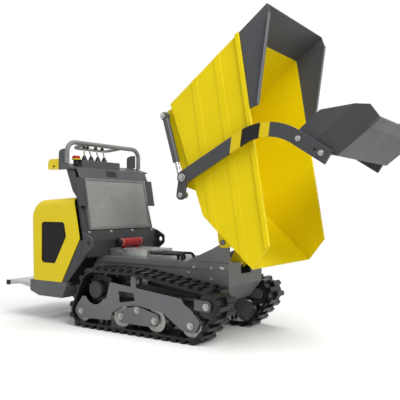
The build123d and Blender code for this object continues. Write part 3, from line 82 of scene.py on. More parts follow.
# Surround: a plain white room round the machine. It is white where the camera or a reflection sees it, and
# less than half as bright as a light, so that the machine keeps its shadow.
room_light = 0.42
room_white = 1.0
world = bpy.data.worlds.new("studio")
bpy.context.scene.world = world
world.use_nodes = True
sky = world.node_tree
sky.nodes.clear()
sky_out = sky.nodes.new("ShaderNodeOutputWorld")
sky_glow = sky.nodes.new("ShaderNodeBackground")
sky_glow.inputs["Color"].default_value = (1, 1, 1, 1)
sky_path = sky.nodes.new("ShaderNodeLightPath")
sky_mirror = sky.nodes.new("ShaderNodeMath")
sky_mirror.operation = "MAXIMUM"
sky_seen = sky.nodes.new("ShaderNodeMath")
sky_seen.operation = "MAXIMUM"
sky_level = sky.nodes.new("ShaderNodeMapRange")
sky_level.inputs["To Min"].default_value = room_light
sky_level.inputs["To Max"].default_value = room_white
sky.links.new(sky_path.outputs["Is Glossy Ray"], sky_mirror.inputs[0])
sky.links.new(sky_path.outputs["Is Transmission Ray"], sky_mirror.inputs[1])
sky.links.new(sky_path.outputs["Is Camera Ray"], sky_seen.inputs[0])
sky.links.new(sky_mirror.outputs[0], sky_seen.inputs[1])
sky.links.new(sky_seen.outputs[0], sky_level.inputs["Value"])
sky.links.new(sky_level.outputs[0], sky_glow.inputs["Strength"])
sky.links.new(sky_glow.outputs[0], sky_out.inputs["Surface"])

# Softboxes: a large key lamp above the front right, a weak fill behind the hood and a lamp overhead.
# Each is a square area light turned to face the machine.


def soft_lamp(name, place, aim, size, watts):
    """A square softbox at a place, turned to face a point."""
    lamp = bpy.data.lights.new(name, "AREA")
    lamp.size = size
    lamp.energy = watts
    holder = bpy.data.objects.new(name, lamp)
    bpy.context.scene.collection.objects.link(holder)
    holder.location = place
    away = holder.location - Vector(aim)
    holder.rotation_euler = away.to_track_quat("Z", "Y").to_euler()


soft_lamp("key_softbox", (3.7, -1.5, 4.3), (0, 0, 0.6), size=3.0, watts=290)
soft_lamp("fill_softbox", (-4.6, -3.0, 2.6), (-0.3, 0, 0.7), size=3.0, watts=50)
soft_lamp("top_softbox", (-0.5, 1.5, 6.0), (0, 0, 0.5), size=4.0, watts=180)

# Camera: a normal lens at hip height that looks at the machine from its front right, as in the photograph.
# The view transform is Standard, so that colours come out as they are written.
camera_tilt = math.radians(90.81)
camera_turn = math.radians(34.46)
camera_data = bpy.data.cameras.new("photo_camera")
camera_data.lens = 51.55
camera_data.sensor_width = 36.0
camera_data.sensor_fit = "HORIZONTAL"
camera = bpy.data.objects.new("photo_camera", camera_data)
bpy.context.scene.collection.objects.link(camera)
camera.location = (2.2358, -3.059, 0.781)
camera.rotation_euler = (camera_tilt, 0, camera_turn)
bpy.context.scene.camera = camera
bpy.context.scene.view_settings.view_transform = "Standard"

# Yellow powder coat on the skip and its brackets: a thick coat over sheet steel with faint cloudy
# colour and an orange-peel skin. Its edges are painted paler, a painted highlight that is partly worn
# paint.


def coat_of(name, colour, roughness, peel=0.05, cloud=0.06, edge=0.25, rounding=0.0025, metallic=0.0,
            shine=0.25):
    """Paint in Object coordinates: cloudy tone, fine skin, soft corners, edges painted pale as highlight
    and wear.
    """
    gloss_spread = 0.09
    # Paler edge colour: a painted highlight along the edges, partly worn paint.
    edge_highlight_and_wear_colour = [min(1.0, c * 1.5 + 0.12) for c in colour]
    material = bpy.data.materials.new(name)
    material.use_nodes = True
    tree = material.node_tree
    shader = tree.nodes["Principled BSDF"]
    shader.inputs["Metallic"].default_value = metallic
    shader.inputs["Specular IOR Level"].default_value = shine
    place = tree.nodes.new("ShaderNodeTexCoord")
    clouds = tree.nodes.new("ShaderNodeTexNoise")
    clouds.inputs["Scale"].default_value = 4.0
    clouds.inputs["Detail"].default_value = 5.0
    tone = tree.nodes.new("ShaderNodeValToRGB")
    tone.color_ramp.elements[0].position = 0.3
    tone.color_ramp.elements[1].position = 0.7
    tone.color_ramp.elements[0].color = (*[c * (1 - cloud) for c in colour], 1)
    tone.color_ramp.elements[1].color = (*[min(1.0, c * (1 + cloud)) for c in colour], 1)
    skin = tree.nodes.new("ShaderNodeTexNoise")
    skin.inputs["Scale"].default_value = 450.0
    skin.inputs["Detail"].default_value = 2.0
    gloss_cloud = tree.nodes.new("ShaderNodeTexNoise")
    gloss_cloud.inputs["Scale"].default_value = 22.0
    gloss_cloud.inputs["Detail"].default_value = 6.0
    gloss = tree.nodes.new("ShaderNodeMapRange")
    gloss.inputs["To Min"].default_value = max(0.05, roughness - gloss_spread)
    gloss.inputs["To Max"].default_value = min(1.0, roughness + gloss_spread)
    corner = tree.nodes.new("ShaderNodeBevel")
    corner.samples = 4
    corner.inputs["Radius"].default_value = rounding
    flat = tree.nodes.new("ShaderNodeNewGeometry")
    turn = tree.nodes.new("ShaderNodeVectorMath")
    turn.operation = "DOT_PRODUCT"
    # Edge mask: paler where the rounded normal turns from the flat one, a painted highlight that is partly
    # wear.
    edge_highlight_and_wear_mask = tree.nodes.new("ShaderNodeMapRange")
    edge_highlight_and_wear_mask.inputs["From Min"].default_value = 0.995
    edge_highlight_and_wear_mask.inputs["From Max"].default_value = 0.86
    edge_highlight_and_wear_mask.inputs["To Max"].default_value = edge
    patchy = tree.nodes.new("ShaderNodeMath")
    patchy.operation = "MULTIPLY"
    bright = tree.nodes.new("ShaderNodeMix")
    bright.data_type = "RGBA"
    bright.inputs["B"].default_value = (*edge_highlight_and_wear_colour, 1)
    relief = tree.nodes.new("ShaderNodeBump")
    relief.inputs["Strength"].default_value = peel
    relief.inputs["Distance"].default_value = 0.001
    link = tree.links.new
    link(place.outputs["Object"], clouds.inputs["Vector"])
    link(place.outputs["Object"], skin.inputs["Vector"])
    link(place.outputs["Object"], gloss_cloud.inputs["Vector"])
    link(clouds.outputs["Fac"], tone.inputs["Fac"])
    link(gloss_cloud.outputs["Fac"], gloss.inputs["Value"])
    link(gloss.outputs[0], shader.inputs["Roughness"])
    link(corner.outputs["Normal"], turn.inputs[0])
    link(flat.outputs["Normal"], turn.inputs[1])
    link(turn.outputs["Value"], edge_highlight_and_wear_mask.inputs["Value"])
    link(edge_highlight_and_wear_mask.outputs[0], patchy.inputs[0])
    link(gloss_cloud.outputs["Fac"], patchy.inputs[1])
    link(patchy.outputs[0], bright.inputs["Factor"])
    link(tone.outputs["Color"], bright.inputs["A"])
    link(bright.outputs["Result"], shader.inputs["Base Color"])
    link(skin.outputs["Fac"], relief.inputs["Height"])
    link(corner.outputs["Normal"], relief.inputs["Normal"])
    link(relief.outputs["Normal"], shader.inputs["Normal"])
    return material


def dress(material, *names):
    """Gives CAD nodes a material in place of the one they came with."""
    for name in names:
        slots = nodes[name].data.materials
        slots.clear()
        slots.append(material)


skip_yellow = coat_of("skip_yellow", (0.71, 0.55, 0.002), 0.36, cloud=0.04, edge=0.5, shine=0.15)
dress(skip_yellow, "skip_tub", "skip_hinge_brackets", "loader_brackets")

# Hood and hand guard: shells of yellow moulded plastic, coloured through, a little softer in gloss than the
# skip's coat and with a fine grain from the mould.
hood_yellow = coat_of("hood_yellow", (0.72, 0.555, 0.006), 0.42, peel=0.12, cloud=0.025, edge=0.15,
                      shine=0.2)
dress(hood_yellow, "hood", "hand_guard")

# Anthracite paint on the skip's guard and the console's top, and a darker one on the console's frame, its
# fittings and the shovel. Both are satin over steel plate, and the plates' edges are painted to a pale
# line, a painted highlight that is partly worn paint.
dark_grey = coat_of("anthracite_paint", (0.062, 0.065, 0.07), 0.4, cloud=0.08, edge=1.0)
dress(dark_grey, "skip_guard", "console_panel")
console_grey = coat_of("console_paint", (0.044, 0.046, 0.049), 0.4, cloud=0.08, edge=1.0)
dress(console_grey, "console_frame", "lashing_eyes", "hoop_shields", "shovel")

# Cutting edge: a plate of hardened steel welded to the shovel's floor. It is bare, dark and scuffed, and
# painted bright along its corners, partly wear and partly a painted highlight.
edge_steel = coat_of("cutting_steel", (0.085, 0.086, 0.09), 0.46, peel=0.2, cloud=0.25, edge=1.0,
                     metallic=0.35)
dress(edge_steel, "cutting_edge")

# Grey paints on welded steel, each a shade lighter: belly plate, skirt and tensioners, then track frames
# and bogies, then chassis and tipping tower, and the bent tube of the hand hoop.
mid_grey = coat_of("chassis_grey", (0.095, 0.099, 0.104), 0.42, cloud=0.1, edge=0.8)
dress(mid_grey, "belly_plate", "skirt", "tensioners")
deck_grey = coat_of("deck_grey", (0.15, 0.156, 0.163), 0.42, cloud=0.1, edge=0.8)
dress(deck_grey, "chassis", "tipping_tower")
frame_grey = coat_of("track_frame_grey", (0.125, 0.13, 0.137), 0.4, cloud=0.08, edge=0.8)
dress(frame_grey, "track_frames", "bogies")
hoop_grey = coat_of("hoop_grey", (0.17, 0.173, 0.177), 0.36, cloud=0.06, edge=0.2)
dress(hoop_grey, "hand_hoop")

# Loader arms: anthracite plates with warning bands across the crest, grey, yellow, black, yellow and
# grey again. The bands are foil, so they lie flat and follow the place along the arm.
arm_paint = (0.05, 0.052, 0.056)
band_yellow = (0.62, 0.46, 0.004)
band_black = (0.006, 0.006, 0.006)
band_start, band_end = 0.46, 0.71
band_lean = -0.14
band_colours = [(0.0, arm_paint), (0.04, band_yellow), (0.28, band_black), (0.71, band_yellow),
                (0.935, arm_paint)]
arm_grey = coat_of("arm_paint", arm_paint, 0.4, cloud=0.08, edge=1.0)
arm_tree = arm_grey.node_tree
arm_place = arm_tree.nodes.new("ShaderNodeTexCoord")
arm_split = arm_tree.nodes.new("ShaderNodeSeparateXYZ")
arm_lean = arm_tree.nodes.new("ShaderNodeMath")
arm_lean.operation = "MULTIPLY_ADD"
arm_lean.inputs[1].default_value = band_lean
arm_bands = arm_tree.nodes.new("ShaderNodeValToRGB")
arm_bands.color_ramp.interpolation = "CONSTANT"
while len(arm_bands.color_ramp.elements) < len(band_colours):
    arm_bands.color_ramp.elements.new(1.0)
for element, (share, colour) in zip(arm_bands.color_ramp.elements, band_colours):
    element.position = share
    element.color = (*colour, 1)
arm_range = arm_tree.nodes.new("ShaderNodeMapRange")
arm_range.inputs["From Min"].default_value = band_start
arm_range.inputs["From Max"].default_value = band_end
arm_mix = next(n for n in arm_tree.nodes if n.bl_idname == "ShaderNodeMix")
arm_tree.links.new(arm_place.outputs["Object"], arm_split.inputs[0])
arm_tree.links.new(arm_split.outputs["Z"], arm_lean.inputs[0])
arm_tree.links.new(arm_split.outputs["X"], arm_lean.inputs[2])
arm_tree.links.new(arm_lean.outputs[0], arm_range.inputs["Value"])
arm_tree.links.new(arm_range.outputs[0], arm_bands.inputs["Fac"])
arm_tree.links.new(arm_bands.outputs["Color"], arm_mix.inputs["A"])
dress(arm_grey, "loader_arm_left", "loader_arm_right")

# Galvanised steel on rollers, deck tray, platform and its brackets: dipped in zinc, which sets as a
# spangled skin, each crystal with its own gloss.


def zinc_of(name, colour, roughness, crystal, metallic=0.85):
    """Hot-dipped zinc: crystals as cells of a Voronoi pattern, with a faint stain over them."""
    material = coat_of(name, colour, roughness, peel=0.04, cloud=0.14, edge=0.6, metallic=metallic)
    tree = material.node_tree
    shader = tree.nodes["Principled BSDF"]
    place = tree.nodes.new("ShaderNodeTexCoord")
    cells = tree.nodes.new("ShaderNodeTexVoronoi")
    cells.inputs["Scale"].default_value = crystal
    split = tree.nodes.new("ShaderNodeSeparateColor")
    gloss = tree.nodes.new("ShaderNodeMapRange")
    gloss.inputs["To Min"].default_value = roughness - 0.1
    gloss.inputs["To Max"].default_value = roughness + 0.14
    tree.links.new(place.outputs["Object"], cells.inputs["Vector"])
    tree.links.new(cells.outputs["Color"], split.inputs["Color"])
    tree.links.new(split.outputs[0], gloss.inputs["Value"])
    tree.links.new(gloss.outputs[0], shader.inputs["Roughness"])
    return material


pale_zinc = zinc_of("roller_zinc", (0.27, 0.272, 0.255), 0.3, crystal=60.0)
dress(pale_zinc, "track_rollers")
sheet_zinc = zinc_of("sheet_zinc", (0.42, 0.43, 0.42), 0.34, crystal=45.0)
dress(sheet_zinc, "deck_tray", "platform", "platform_brackets")

# Sprockets, idlers, drive motors and power unit: cast in iron and kept dark, with the sandy skin that the
# mould leaves.
cast_iron = coat_of("cast_iron", (0.04, 0.04, 0.043), 0.5, peel=0.6, cloud=0.2, edge=0.3, metallic=0.3)
dress(cast_iron, "sprockets", "idlers", "drive_motors", "power_unit")

# Tracks, lever boots, platform buffers and hoses: moulded rubber, nearly black, matt in the grain and
# shiny where it is smooth.
rubber = coat_of("track_rubber", (0.009, 0.009, 0.01), 0.36, peel=0.5, cloud=0.3, edge=0.1, rounding=0.004)
dress(rubber, "track_left", "track_right", "lever_boots", "platform_buffers", "hydraulic_hoses")

# Bulkhead: a black moulded plate that closes the gap between hood and deck, with a leather-like grain from
# its mould. Its near-black is partly the plate's own colour and partly painted shade for the dark recess.
# Near black: partly the plate's own colour, partly painted shade in the recess between hood and deck.
bulkhead_shade_black = coat_of("bulkhead_black_and_shade", (0.012, 0.012, 0.013), 0.55, peel=0.4, cloud=0.15, edge=0.1)
dress(bulkhead_shade_black, "bulkhead")

# Cylinders: barrels of steel tube, painted anthracite. Their rods and the lever stalks are ground steel
# with a hard chrome skin, smooth and bright.
dress(dark_grey, "tip_cylinder_barrel", "loader_cylinder_barrels")
chrome = coat_of("hard_chrome", (0.4, 0.4, 0.41), 0.2, peel=0.02, cloud=0.05, edge=0.1, metallic=1.0)
dress(chrome, "tip_cylinder_rod", "loader_cylinder_rods", "control_levers")

# Stop button and document tube: red moulded plastic, coloured through, glossy and with a faint ripple from
# the mould.
red_plastic = coat_of("red_plastic", (0.32, 0.008, 0.01), 0.3, peel=0.03, cloud=0.08, edge=0.15, shine=0.2)
dress(red_plastic, "stop_button", "document_tube")

# Hood grilles: black plates in the hood's sides, punched with fine round holes in rows. The holes are dents
# in the finish, a pattern in X and Z.
hole_pitch = 0.009
hole_dent = 0.003
grille_black = coat_of("grille_black", (0.009, 0.009, 0.01), 0.55, cloud=0.1, edge=0.2, shine=0.15)
grille_tree = grille_black.node_tree
grille_place = grille_tree.nodes.new("ShaderNodeTexCoord")
grille_split = grille_tree.nodes.new("ShaderNodeSeparateXYZ")
hole_rows = []
for axis in ("X", "Z"):
    wave = grille_tree.nodes.new("ShaderNodeMath")
    wave.operation = "SINE"
    pitch = grille_tree.nodes.new("ShaderNodeMath")
    pitch.operation = "MULTIPLY"
    pitch.inputs[1].default_value = math.tau / hole_pitch
    grille_tree.links.new(grille_split.outputs[axis], pitch.inputs[0])
    grille_tree.links.new(pitch.outputs[0], wave.inputs[0])
    hole_rows.append(wave)
holes = grille_tree.nodes.new("ShaderNodeMath")
holes.operation = "MULTIPLY"
hole_depth = grille_tree.nodes.new("ShaderNodeMapRange")
hole_depth.inputs["From Min"].default_value = 0.1
hole_depth.inputs["From Max"].default_value = 0.5
hole_bump = grille_tree.nodes.new("ShaderNodeBump")
hole_bump.inputs["Strength"].default_value = 0.9
hole_bump.inputs["Distance"].default_value = hole_dent
hole_bump.invert = True
grille_shader = grille_tree.nodes["Principled BSDF"]
grille_tree.links.new(grille_place.outputs["Object"], grille_split.inputs[0])
grille_tree.links.new(hole_rows[0].outputs[0], holes.inputs[0])
grille_tree.links.new(hole_rows[1].outputs[0], holes.inputs[1])
grille_tree.links.new(holes.outputs[0], hole_depth.inputs["Value"])
grille_tree.links.new(hole_depth.outputs[0], hole_bump.inputs["Height"])
grille_tree.links.new(hole_bump.outputs["Normal"], grille_shader.inputs["Normal"])
dress(grille_black, "hood_grilles")

# Mesh guard: the CAD node is its frame and the dark radiator face behind it. Woven galvanised wires lie
# in front of that face, one set up the slope and one across, made by arrays of a single wire.
dress(coat_of("radiator_dark", (0.16, 0.16, 0.165), 0.5, cloud=0.1, edge=0.9), "mesh_guard")
guard_low, guard_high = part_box("mesh_guard")
guard_lean = 0.064
guard_rim = 0.014
wire = 0.0024
wire_pitch = 0.008
wire_inset = 0.0045
wire_half = (guard_high.y - guard_low.y) / 2 - guard_rim
guard_rise = guard_high.z - guard_low.z
slope_length = math.hypot(guard_lean, guard_rise) - 2 * guard_rim
slope_turn = -math.atan2(guard_lean, guard_rise)
guard_middle = Vector((guard_high.x - guard_lean / 2 - wire_inset, 0, (guard_low.z + guard_high.z) / 2))


def soft_block(name, size, rounding, segments):
    """A cube at the origin, drawn out to a size and rounded along its edges."""
    bpy.ops.mesh.primitive_cube_add(size=1, location=(0, 0, 0))
    block = bpy.context.object
    block.name = name
    block.scale = size
    bpy.ops.object.transform_apply(location=False, rotation=False, scale=True)
    soft = block.modifiers.new("soft", "BEVEL")
    soft.width = rounding
    soft.segments = segments
    bpy.ops.object.modifier_apply(modifier="soft")
    return block


def wire_row(name, size, count, step, start):
    """A row of thin rounded wires, repeated from a start by a step."""
    piece = soft_block(name, size, wire / 3, 1)
    row = piece.modifiers.new("row", "ARRAY")
    row.use_relative_offset = False
    row.use_constant_offset = True
    row.constant_offset_displace = step
    row.count = count
    bpy.ops.object.modifier_apply(modifier="row")
    piece.location = start
    bpy.ops.object.transform_apply(location=True, rotation=False, scale=False)
    return piece


def lean_at(piece, lean, place):
    """Leans a piece at the origin about Y, moves it to its place and fixes both in its mesh."""
    piece.rotation_euler = (0, lean, 0)
    piece.location = place
    bpy.ops.object.transform_apply(location=True, rotation=True, scale=False)


upright_count = int(2 * wire_half / wire_pitch)
cross_count = int(slope_length / wire_pitch)
uprights = wire_row("guard_wires", (wire, wire, slope_length), upright_count, (0, wire_pitch, 0),
                    (0, -wire_pitch * (upright_count - 1) / 2, 0))
crossings = wire_row("guard_crossings", (wire, 2 * wire_half, wire), cross_count, (0, 0, wire_pitch),
                     (-wire / 2, 0, -wire_pitch * (cross_count - 1) / 2))
bpy.ops.object.select_all(action="DESELECT")
crossings.select_set(True)
uprights.select_set(True)
bpy.context.view_layer.objects.active = uprights
bpy.ops.object.join()
guard_wires = bpy.context.object
lean_at(guard_wires, slope_turn, guard_middle)
guard_wires.data.materials.append(zinc_of("wire_zinc", (0.4, 0.4, 0.4), 0.38, crystal=90.0, metallic=0.7))
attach(guard_wires, "base")

# Bolts of the running gear: galvanised hex bolts on washers, at the rollers' axles, the bogies' pivots
# and the idlers' yokes, on the outer plates of both track frames.
bolt_zinc = zinc_of("bolt_zinc", (0.38, 0.38, 0.37), 0.32, crystal=120.0)


def bolt(place, out, size):
    """A hex bolt on a round washer: both are bevelled discs, the head's with six sides."""
    turn = Vector(out).to_track_quat("Z", "Y").to_euler()
    washer = (24, size, 0.2 * size, 0.1 * size)
    head = (6, 0.66 * size, 0.55 * size, 0.42 * size)
    made = []
    for sides, radius, height, lift in (washer, head):
        bpy.ops.mesh.primitive_cylinder_add(vertices=sides, radius=radius, depth=height, rotation=turn,
                                            location=Vector(place) + Vector(out) * lift)
        disc = bpy.context.object
        bpy.ops.object.transform_apply(location=True, rotation=True, scale=True)
        soft = disc.modifiers.new("soft", "BEVEL")
        soft.width = 0.07 * size
        soft.segments = 2
        bpy.ops.object.modifier_apply(modifier="soft")
        made.append(disc)
    return made


def bolts(name, body, places, out, size, material):
    """One piece of several bolts that face the same way and ride on one body."""
    bpy.ops.object.select_all(action="DESELECT")
    made = []
    for place in places:
        made += bolt(place, out, size)
    for disc in made:
        disc.select_set(True)
    bpy.context.view_layer.objects.active = made[0]
    bpy.ops.object.join()
    piece = bpy.context.object
    piece.name = name
    piece.data.materials.append(material)
    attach(piece, body)


both_sides = ((-1, "right"), (1, "left"))
roller_low, roller_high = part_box("track_rollers")
bogie_low, bogie_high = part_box("bogies")
idler_low, idler_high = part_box("idlers")
track_frame_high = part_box("track_frames")[1]
roller_radius = 0.07
bogie_margin = 0.032
pivot_drop = 0.026
gear_bolt = 0.021
axle_z = roller_low.z + roller_radius
axle_xs = (roller_low.x + roller_radius, bogie_low.x + bogie_margin,
           bogie_high.x - bogie_margin, roller_high.x - roller_radius)
pivot = Vector(((bogie_low.x + bogie_high.x) / 2, 0, bogie_high.z - pivot_drop))
idler_axle = Vector(((idler_low.x + idler_high.x) / 2, 0, (idler_low.z + idler_high.z) / 2))
for side, name in both_sides:
    face = side * track_frame_high.y
    axles = [(x, face, axle_z) for x in axle_xs]
    axles += [(pivot.x, face, pivot.z), (idler_axle.x, face, idler_axle.z)]
    bolts("running_gear_bolts_" + name, "base", axles, (0, side, 0), gear_bolt, bolt_zinc)

# Drive motors' covers: a ring of small dark screws holds each cover, on the disc inside the sprocket. They
# are hex screws on washers, of the same iron finish as the motor.
motor_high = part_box("drive_motors")[1]
sprocket_low, sprocket_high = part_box("sprockets")
motor_middle = Vector(((sprocket_low.x + sprocket_high.x) / 2, 0, (sprocket_low.z + sprocket_high.z) / 2))
cover_radius = 0.042
cover_count = 8
cover_screw = 0.0075
for side, name in both_sides:
    ring = []
    for index in range(cover_count):
        turn = math.tau * index / cover_count
        ring.append((motor_middle.x + cover_radius * math.cos(turn), side * motor_high.y,
                     motor_middle.z + cover_radius * math.sin(turn)))
    bolts("motor_cover_screws_" + name, "base", ring, (0, side, 0), cover_screw, cast_iron)

# Loader fasteners: two bolts in each arm's end into the shovel's lugs, one in the rod's eye, and on the
# skip's brackets one at the arm's pin and one at the cylinder's rear pin.
arm_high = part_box("loader_arm_left")[1]
bracket_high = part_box("loader_brackets")[1]
arm_bolts_at = ((1.021, 1.129), (1.142, 1.05), (0.291, 0.856))
arm_pin_x, arm_pin_z = 0.307, 0.955
rear_pin_x, rear_pin_z = 0.151, 1.324
rear_pin_end = 0.41
arm_bolt, arm_pin, rear_pin = 0.015, 0.023, 0.018
for side, name in both_sides:
    out = (0, side, 0)
    arm_places = [(x, side * arm_high.y, z) for x, z in arm_bolts_at]
    pin_place = (arm_pin_x, side * bracket_high.y, arm_pin_z)
    rear_place = (rear_pin_x, side * rear_pin_end, rear_pin_z)
    bolts("arm_bolts_" + name, "loader", arm_places, out, arm_bolt, bolt_zinc)
    bolts("arm_pin_" + name, "skip", [pin_place], out, arm_pin, bolt_zinc)
    bolts("rear_pin_" + name, "skip", [rear_place], out, rear_pin, bolt_zinc)

# Console screws: a row of small galvanised screws along the plate below the mesh. They stand square on
# that plate, which leans back a little.
screw_x, screw_z = -0.5231, 0.6205
screw_ys = (-0.336, -0.128, 0.091, 0.311)
plate_out = (1, 0, 0.114)
console_screw = 0.0095
screw_places = [(screw_x, y, screw_z) for y in screw_ys]
bolts("console_screws", "base", screw_places, plate_out, console_screw, bolt_zinc)

# Chassis bolts: galvanised, two in each rail and two in the side plate below it, on both sides of the
# chassis. The rail stands a little proud of the plate.
chassis_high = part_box("chassis")[1]
rail_proud = 0.006
rail_bolts = ((0.232, 0.421), (0.361, 0.422))
side_bolts = ((0.19, 0.385), (0.357, 0.354))
chassis_bolt = 0.009
for side, name in both_sides:
    rail_face = side * chassis_high.y
    plate_face = side * (chassis_high.y - rail_proud)
    places = [(x, rail_face, z) for x, z in rail_bolts] + [(x, plate_face, z) for x, z in side_bolts]
    bolts("chassis_bolts_" + name, "base", places, (0, side, 0), chassis_bolt, bolt_zinc)

# Lever knobs: black moulded balls with a collar, pressed on the chrome stalks, each turned from a
# profile and set over the stalk's ball.
knob_black = coat_of("knob_black", (0.01, 0.01, 0.011), 0.3, peel=0.03, cloud=0.1, edge=0.1)


def turned(name, profile, steps=24):
    """A piece turned on a lathe: radius and height pairs spun round the Z axis."""
    mesh = bpy.data.meshes.new(name)
    corners = [(radius, 0, height) for radius, height in profile]
    mesh.from_pydata(corners, [(i, i + 1) for i in range(len(corners) - 1)], [])
    piece = bpy.data.objects.new(name, mesh)
    bpy.context.scene.collection.objects.link(piece)
    bpy.ops.object.select_all(action="DESELECT")
    piece.select_set(True)
    bpy.context.view_layer.objects.active = piece
    bpy.ops.object.mode_set(mode="EDIT")
    bpy.ops.mesh.select_all(action="SELECT")
    bpy.ops.mesh.spin(steps=steps, angle=math.tau, center=(0, 0, 0), axis=(0, 0, 1))
    bpy.ops.mesh.select_all(action="SELECT")
    bpy.ops.mesh.remove_doubles(threshold=1e-6)
    bpy.ops.mesh.normals_make_consistent(inside=False)
    bpy.ops.object.mode_set(mode="OBJECT")
    bpy.ops.object.shade_smooth_by_angle(angle=math.radians(40))
    return piece


def set_at(piece, place, out=(0, 0, 1)):
    """Moves a turned piece so that its foot is at a place and its axis points out, then fixes that."""
    bpy.ops.object.select_all(action="DESELECT")
    piece.select_set(True)
    bpy.context.view_layer.objects.active = piece
    piece.rotation_euler = Vector(out).to_track_quat("Z", "Y").to_euler()
    piece.location = place
    bpy.ops.object.transform_apply(location=True, rotation=True, scale=True)
    return piece


levers_low, levers_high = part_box("control_levers")
lever_x = (levers_low.x + levers_high.x) / 2
knob_radius = 0.0128
knob_z = levers_high.z - 0.012
knob_ys = (-0.248, -0.214, -0.135, -0.07)
knob_arc = math.radians(140)
knob_steps = 8
collar_radius, collar_foot = 0.007, -0.014
knob_profile = [(0.0, knob_radius)]
for step in range(1, knob_steps + 1):
    turn = math.pi / 2 - knob_arc * step / knob_steps
    knob_profile.append((knob_radius * math.cos(turn), knob_radius * math.sin(turn)))
knob_profile += [(collar_radius, collar_foot), (0.0, collar_foot)]
for index, y in enumerate(knob_ys):
    knob = set_at(turned(f"lever_knob_{index + 1}", knob_profile), (lever_x, y, knob_z))
    knob.data.materials.append(knob_black)
    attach(knob, "base")

# Document tube's ends: black moulded caps with a raised rim, turned from a profile and pushed over both
# ends of the red tube.
tube_low, tube_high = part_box("document_tube")
tube_radius = (tube_high.x - tube_low.x) / 2
tube_x = (tube_high.x + tube_low.x) / 2
tube_z = tube_high.z - tube_radius
cap_crown = 0.004
cap_out = tube_radius + 0.0022
cap_skirt = 0.014
cap_profile = [(0.0, cap_crown), (tube_radius * 0.7, cap_crown), (tube_radius * 0.78, 0.001),
               (tube_radius + 0.0015, 0.0), (cap_out, -0.003), (cap_out, -cap_skirt),
               (tube_radius + 0.0003, -0.0155)]
for side, y, name in ((-1, tube_low.y, "right"), (1, tube_high.y, "left")):
    cap = set_at(turned("tube_cap_" + name, cap_profile, 32), (tube_x, y, tube_z), (0, side, 0))
    cap.data.materials.append(knob_black)
    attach(cap, "base")

# Tube wires: two loops of thin galvanised spring wire round the red tube near its ends, which hold it on
# the tray. Each is a turned ring with a square section.
loop_thick = 0.0022
loop_in = tube_radius + 0.0004
loop_out = loop_in + loop_thick
loop_from_end = 0.03
loop_profile = [(loop_in, -loop_thick), (loop_out, -loop_thick), (loop_out, 0.0), (loop_in, 0.0),
                (loop_in, -loop_thick)]
for y, name in ((tube_low.y + loop_from_end, "right"), (tube_high.y - loop_from_end, "left")):
    loop = set_at(turned("tube_wire_" + name, loop_profile, 32), (tube_x, y, tube_z), (0, 1, 0))
    loop.data.materials.append(sheet_zinc)
    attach(loop, "base")

# Stop button's ring: a yellow moulded collar round the foot of the red button, of the hood's plastic and
# turned from a profile.
stop_low, stop_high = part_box("stop_button")
stop_middle = (stop_low + stop_high) / 2
ring_in, ring_out = 0.0203, 0.031
ring_foot = -0.0072
ring_profile = [(ring_in, ring_foot), (ring_out, ring_foot), (ring_out + 0.001, -0.006),
                (ring_out, -0.0012), (ring_in, -0.0008)]
stop_ring = set_at(turned("stop_ring", ring_profile, 32), (stop_middle.x, stop_middle.y, stop_low.z))
stop_ring.data.materials.append(hood_yellow)
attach(stop_ring, "base")

# Rail slots: a zinc washer plate with round ends at the front of each chassis rail, a turned disc drawn
# out along the rail.
slot_x, slot_z = 0.434, 0.426
slot_radius = 0.009
slot_proud = 0.0018
slot_stretch = 2.0
slot_profile = [(0.0, slot_proud), (slot_radius * 0.8, slot_proud), (slot_radius, 0.0008),
                (slot_radius, -0.0005)]
for side, name in both_sides:
    oval = turned("rail_slot_" + name, slot_profile, 32)
    oval.rotation_euler = (math.radians(-90 * side), 0, 0)
    bpy.ops.object.transform_apply(location=False, rotation=True, scale=False)
    oval.scale = (slot_stretch, 1, 1)
    oval.location = (slot_x, side * chassis_high.y, slot_z)
    bpy.ops.object.transform_apply(location=True, rotation=False, scale=True)
    oval.data.materials.append(bolt_zinc)
    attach(oval, "base")

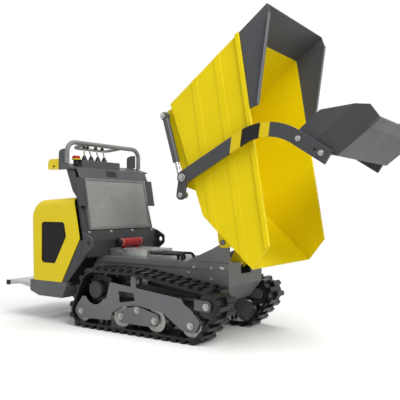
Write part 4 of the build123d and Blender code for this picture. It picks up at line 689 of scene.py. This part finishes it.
# Guard folds: the front edge of each of the guard's wings is turned outwards, a narrow strip of sheet along
# the edge with softened corners. Its paint is a lighter copy of the guard's anthracite: a painted
# highlight.
fold_top = Vector((0.8408, 0, 1.8112))
fold_foot = Vector((0.7724, 0, 1.3362))
fold_sheet = 0.004
fold_width = 0.022
fold_run = fold_top - fold_foot
fold_middle = (fold_top + fold_foot) / 2
fold_lean = math.atan2(fold_run.x, fold_run.z)
guard_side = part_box("skip_guard")[1].y
# Lighter than the guard's own paint: a painted highlight where the fold faces the key lamp.
fold_highlight_paint = coat_of("fold_highlight_paint", (0.1, 0.104, 0.11), 0.36, cloud=0.06, edge=1.0)
for side, name in both_sides:
    fold = soft_block("guard_fold_" + name, (fold_sheet, fold_width, fold_run.length), fold_sheet / 3, 2)
    fold_y = side * (guard_side + fold_width / 2)
    lean_at(fold, fold_lean, (fold_middle.x - fold_sheet / 2, fold_y, fold_middle.z))
    fold.data.materials.append(fold_highlight_paint)
    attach(fold, "skip")

# Apron pull: a black moulded grip in the middle of the apron under the console's top, bevelled all round
# and seated on the apron's slope.
pull_size = (0.004, 0.1, 0.044)
pull_rounding = 0.0018
pull_place = (-0.6125, -0.033, 1.024)
apron_run, apron_drop = 32, 70
pull = soft_block("apron_pull", pull_size, pull_rounding, 2)
lean_at(pull, -math.atan2(apron_run, apron_drop), pull_place)
pull.data.materials.append(knob_black)
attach(pull, "base")

# Hand guard's screw: one black screw on a washer, set in the hand guard's outer face near its lower edge.
# It is made as the bolts are, only smaller.
hand_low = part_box("hand_guard")[0]
hand_screw = 0.008
hand_screw_place = (hand_low.x + 0.06, hand_low.y, hand_low.z + 0.02)
bolts("hand_guard_screw", "base", [hand_screw_place], (0, -1, 0), hand_screw, knob_black)

# Spare holes: an unused hole near the end of each loader arm, closed by a shallow black plastic plug that
# is turned from a profile and pressed into the arm's face.
plug_x, plug_z = 1.11, 1.071
plug_proud = 0.0006
plug_profile = [(0.0, plug_proud), (0.0075, plug_proud), (0.0085, -0.0002)]
for side, name in both_sides:
    plug_place = (plug_x, side * arm_high.y, plug_z)
    plug = set_at(turned("arm_plug_" + name, plug_profile), plug_place, (0, side, 0))
    plug.data.materials.append(knob_black)
    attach(plug, "loader")
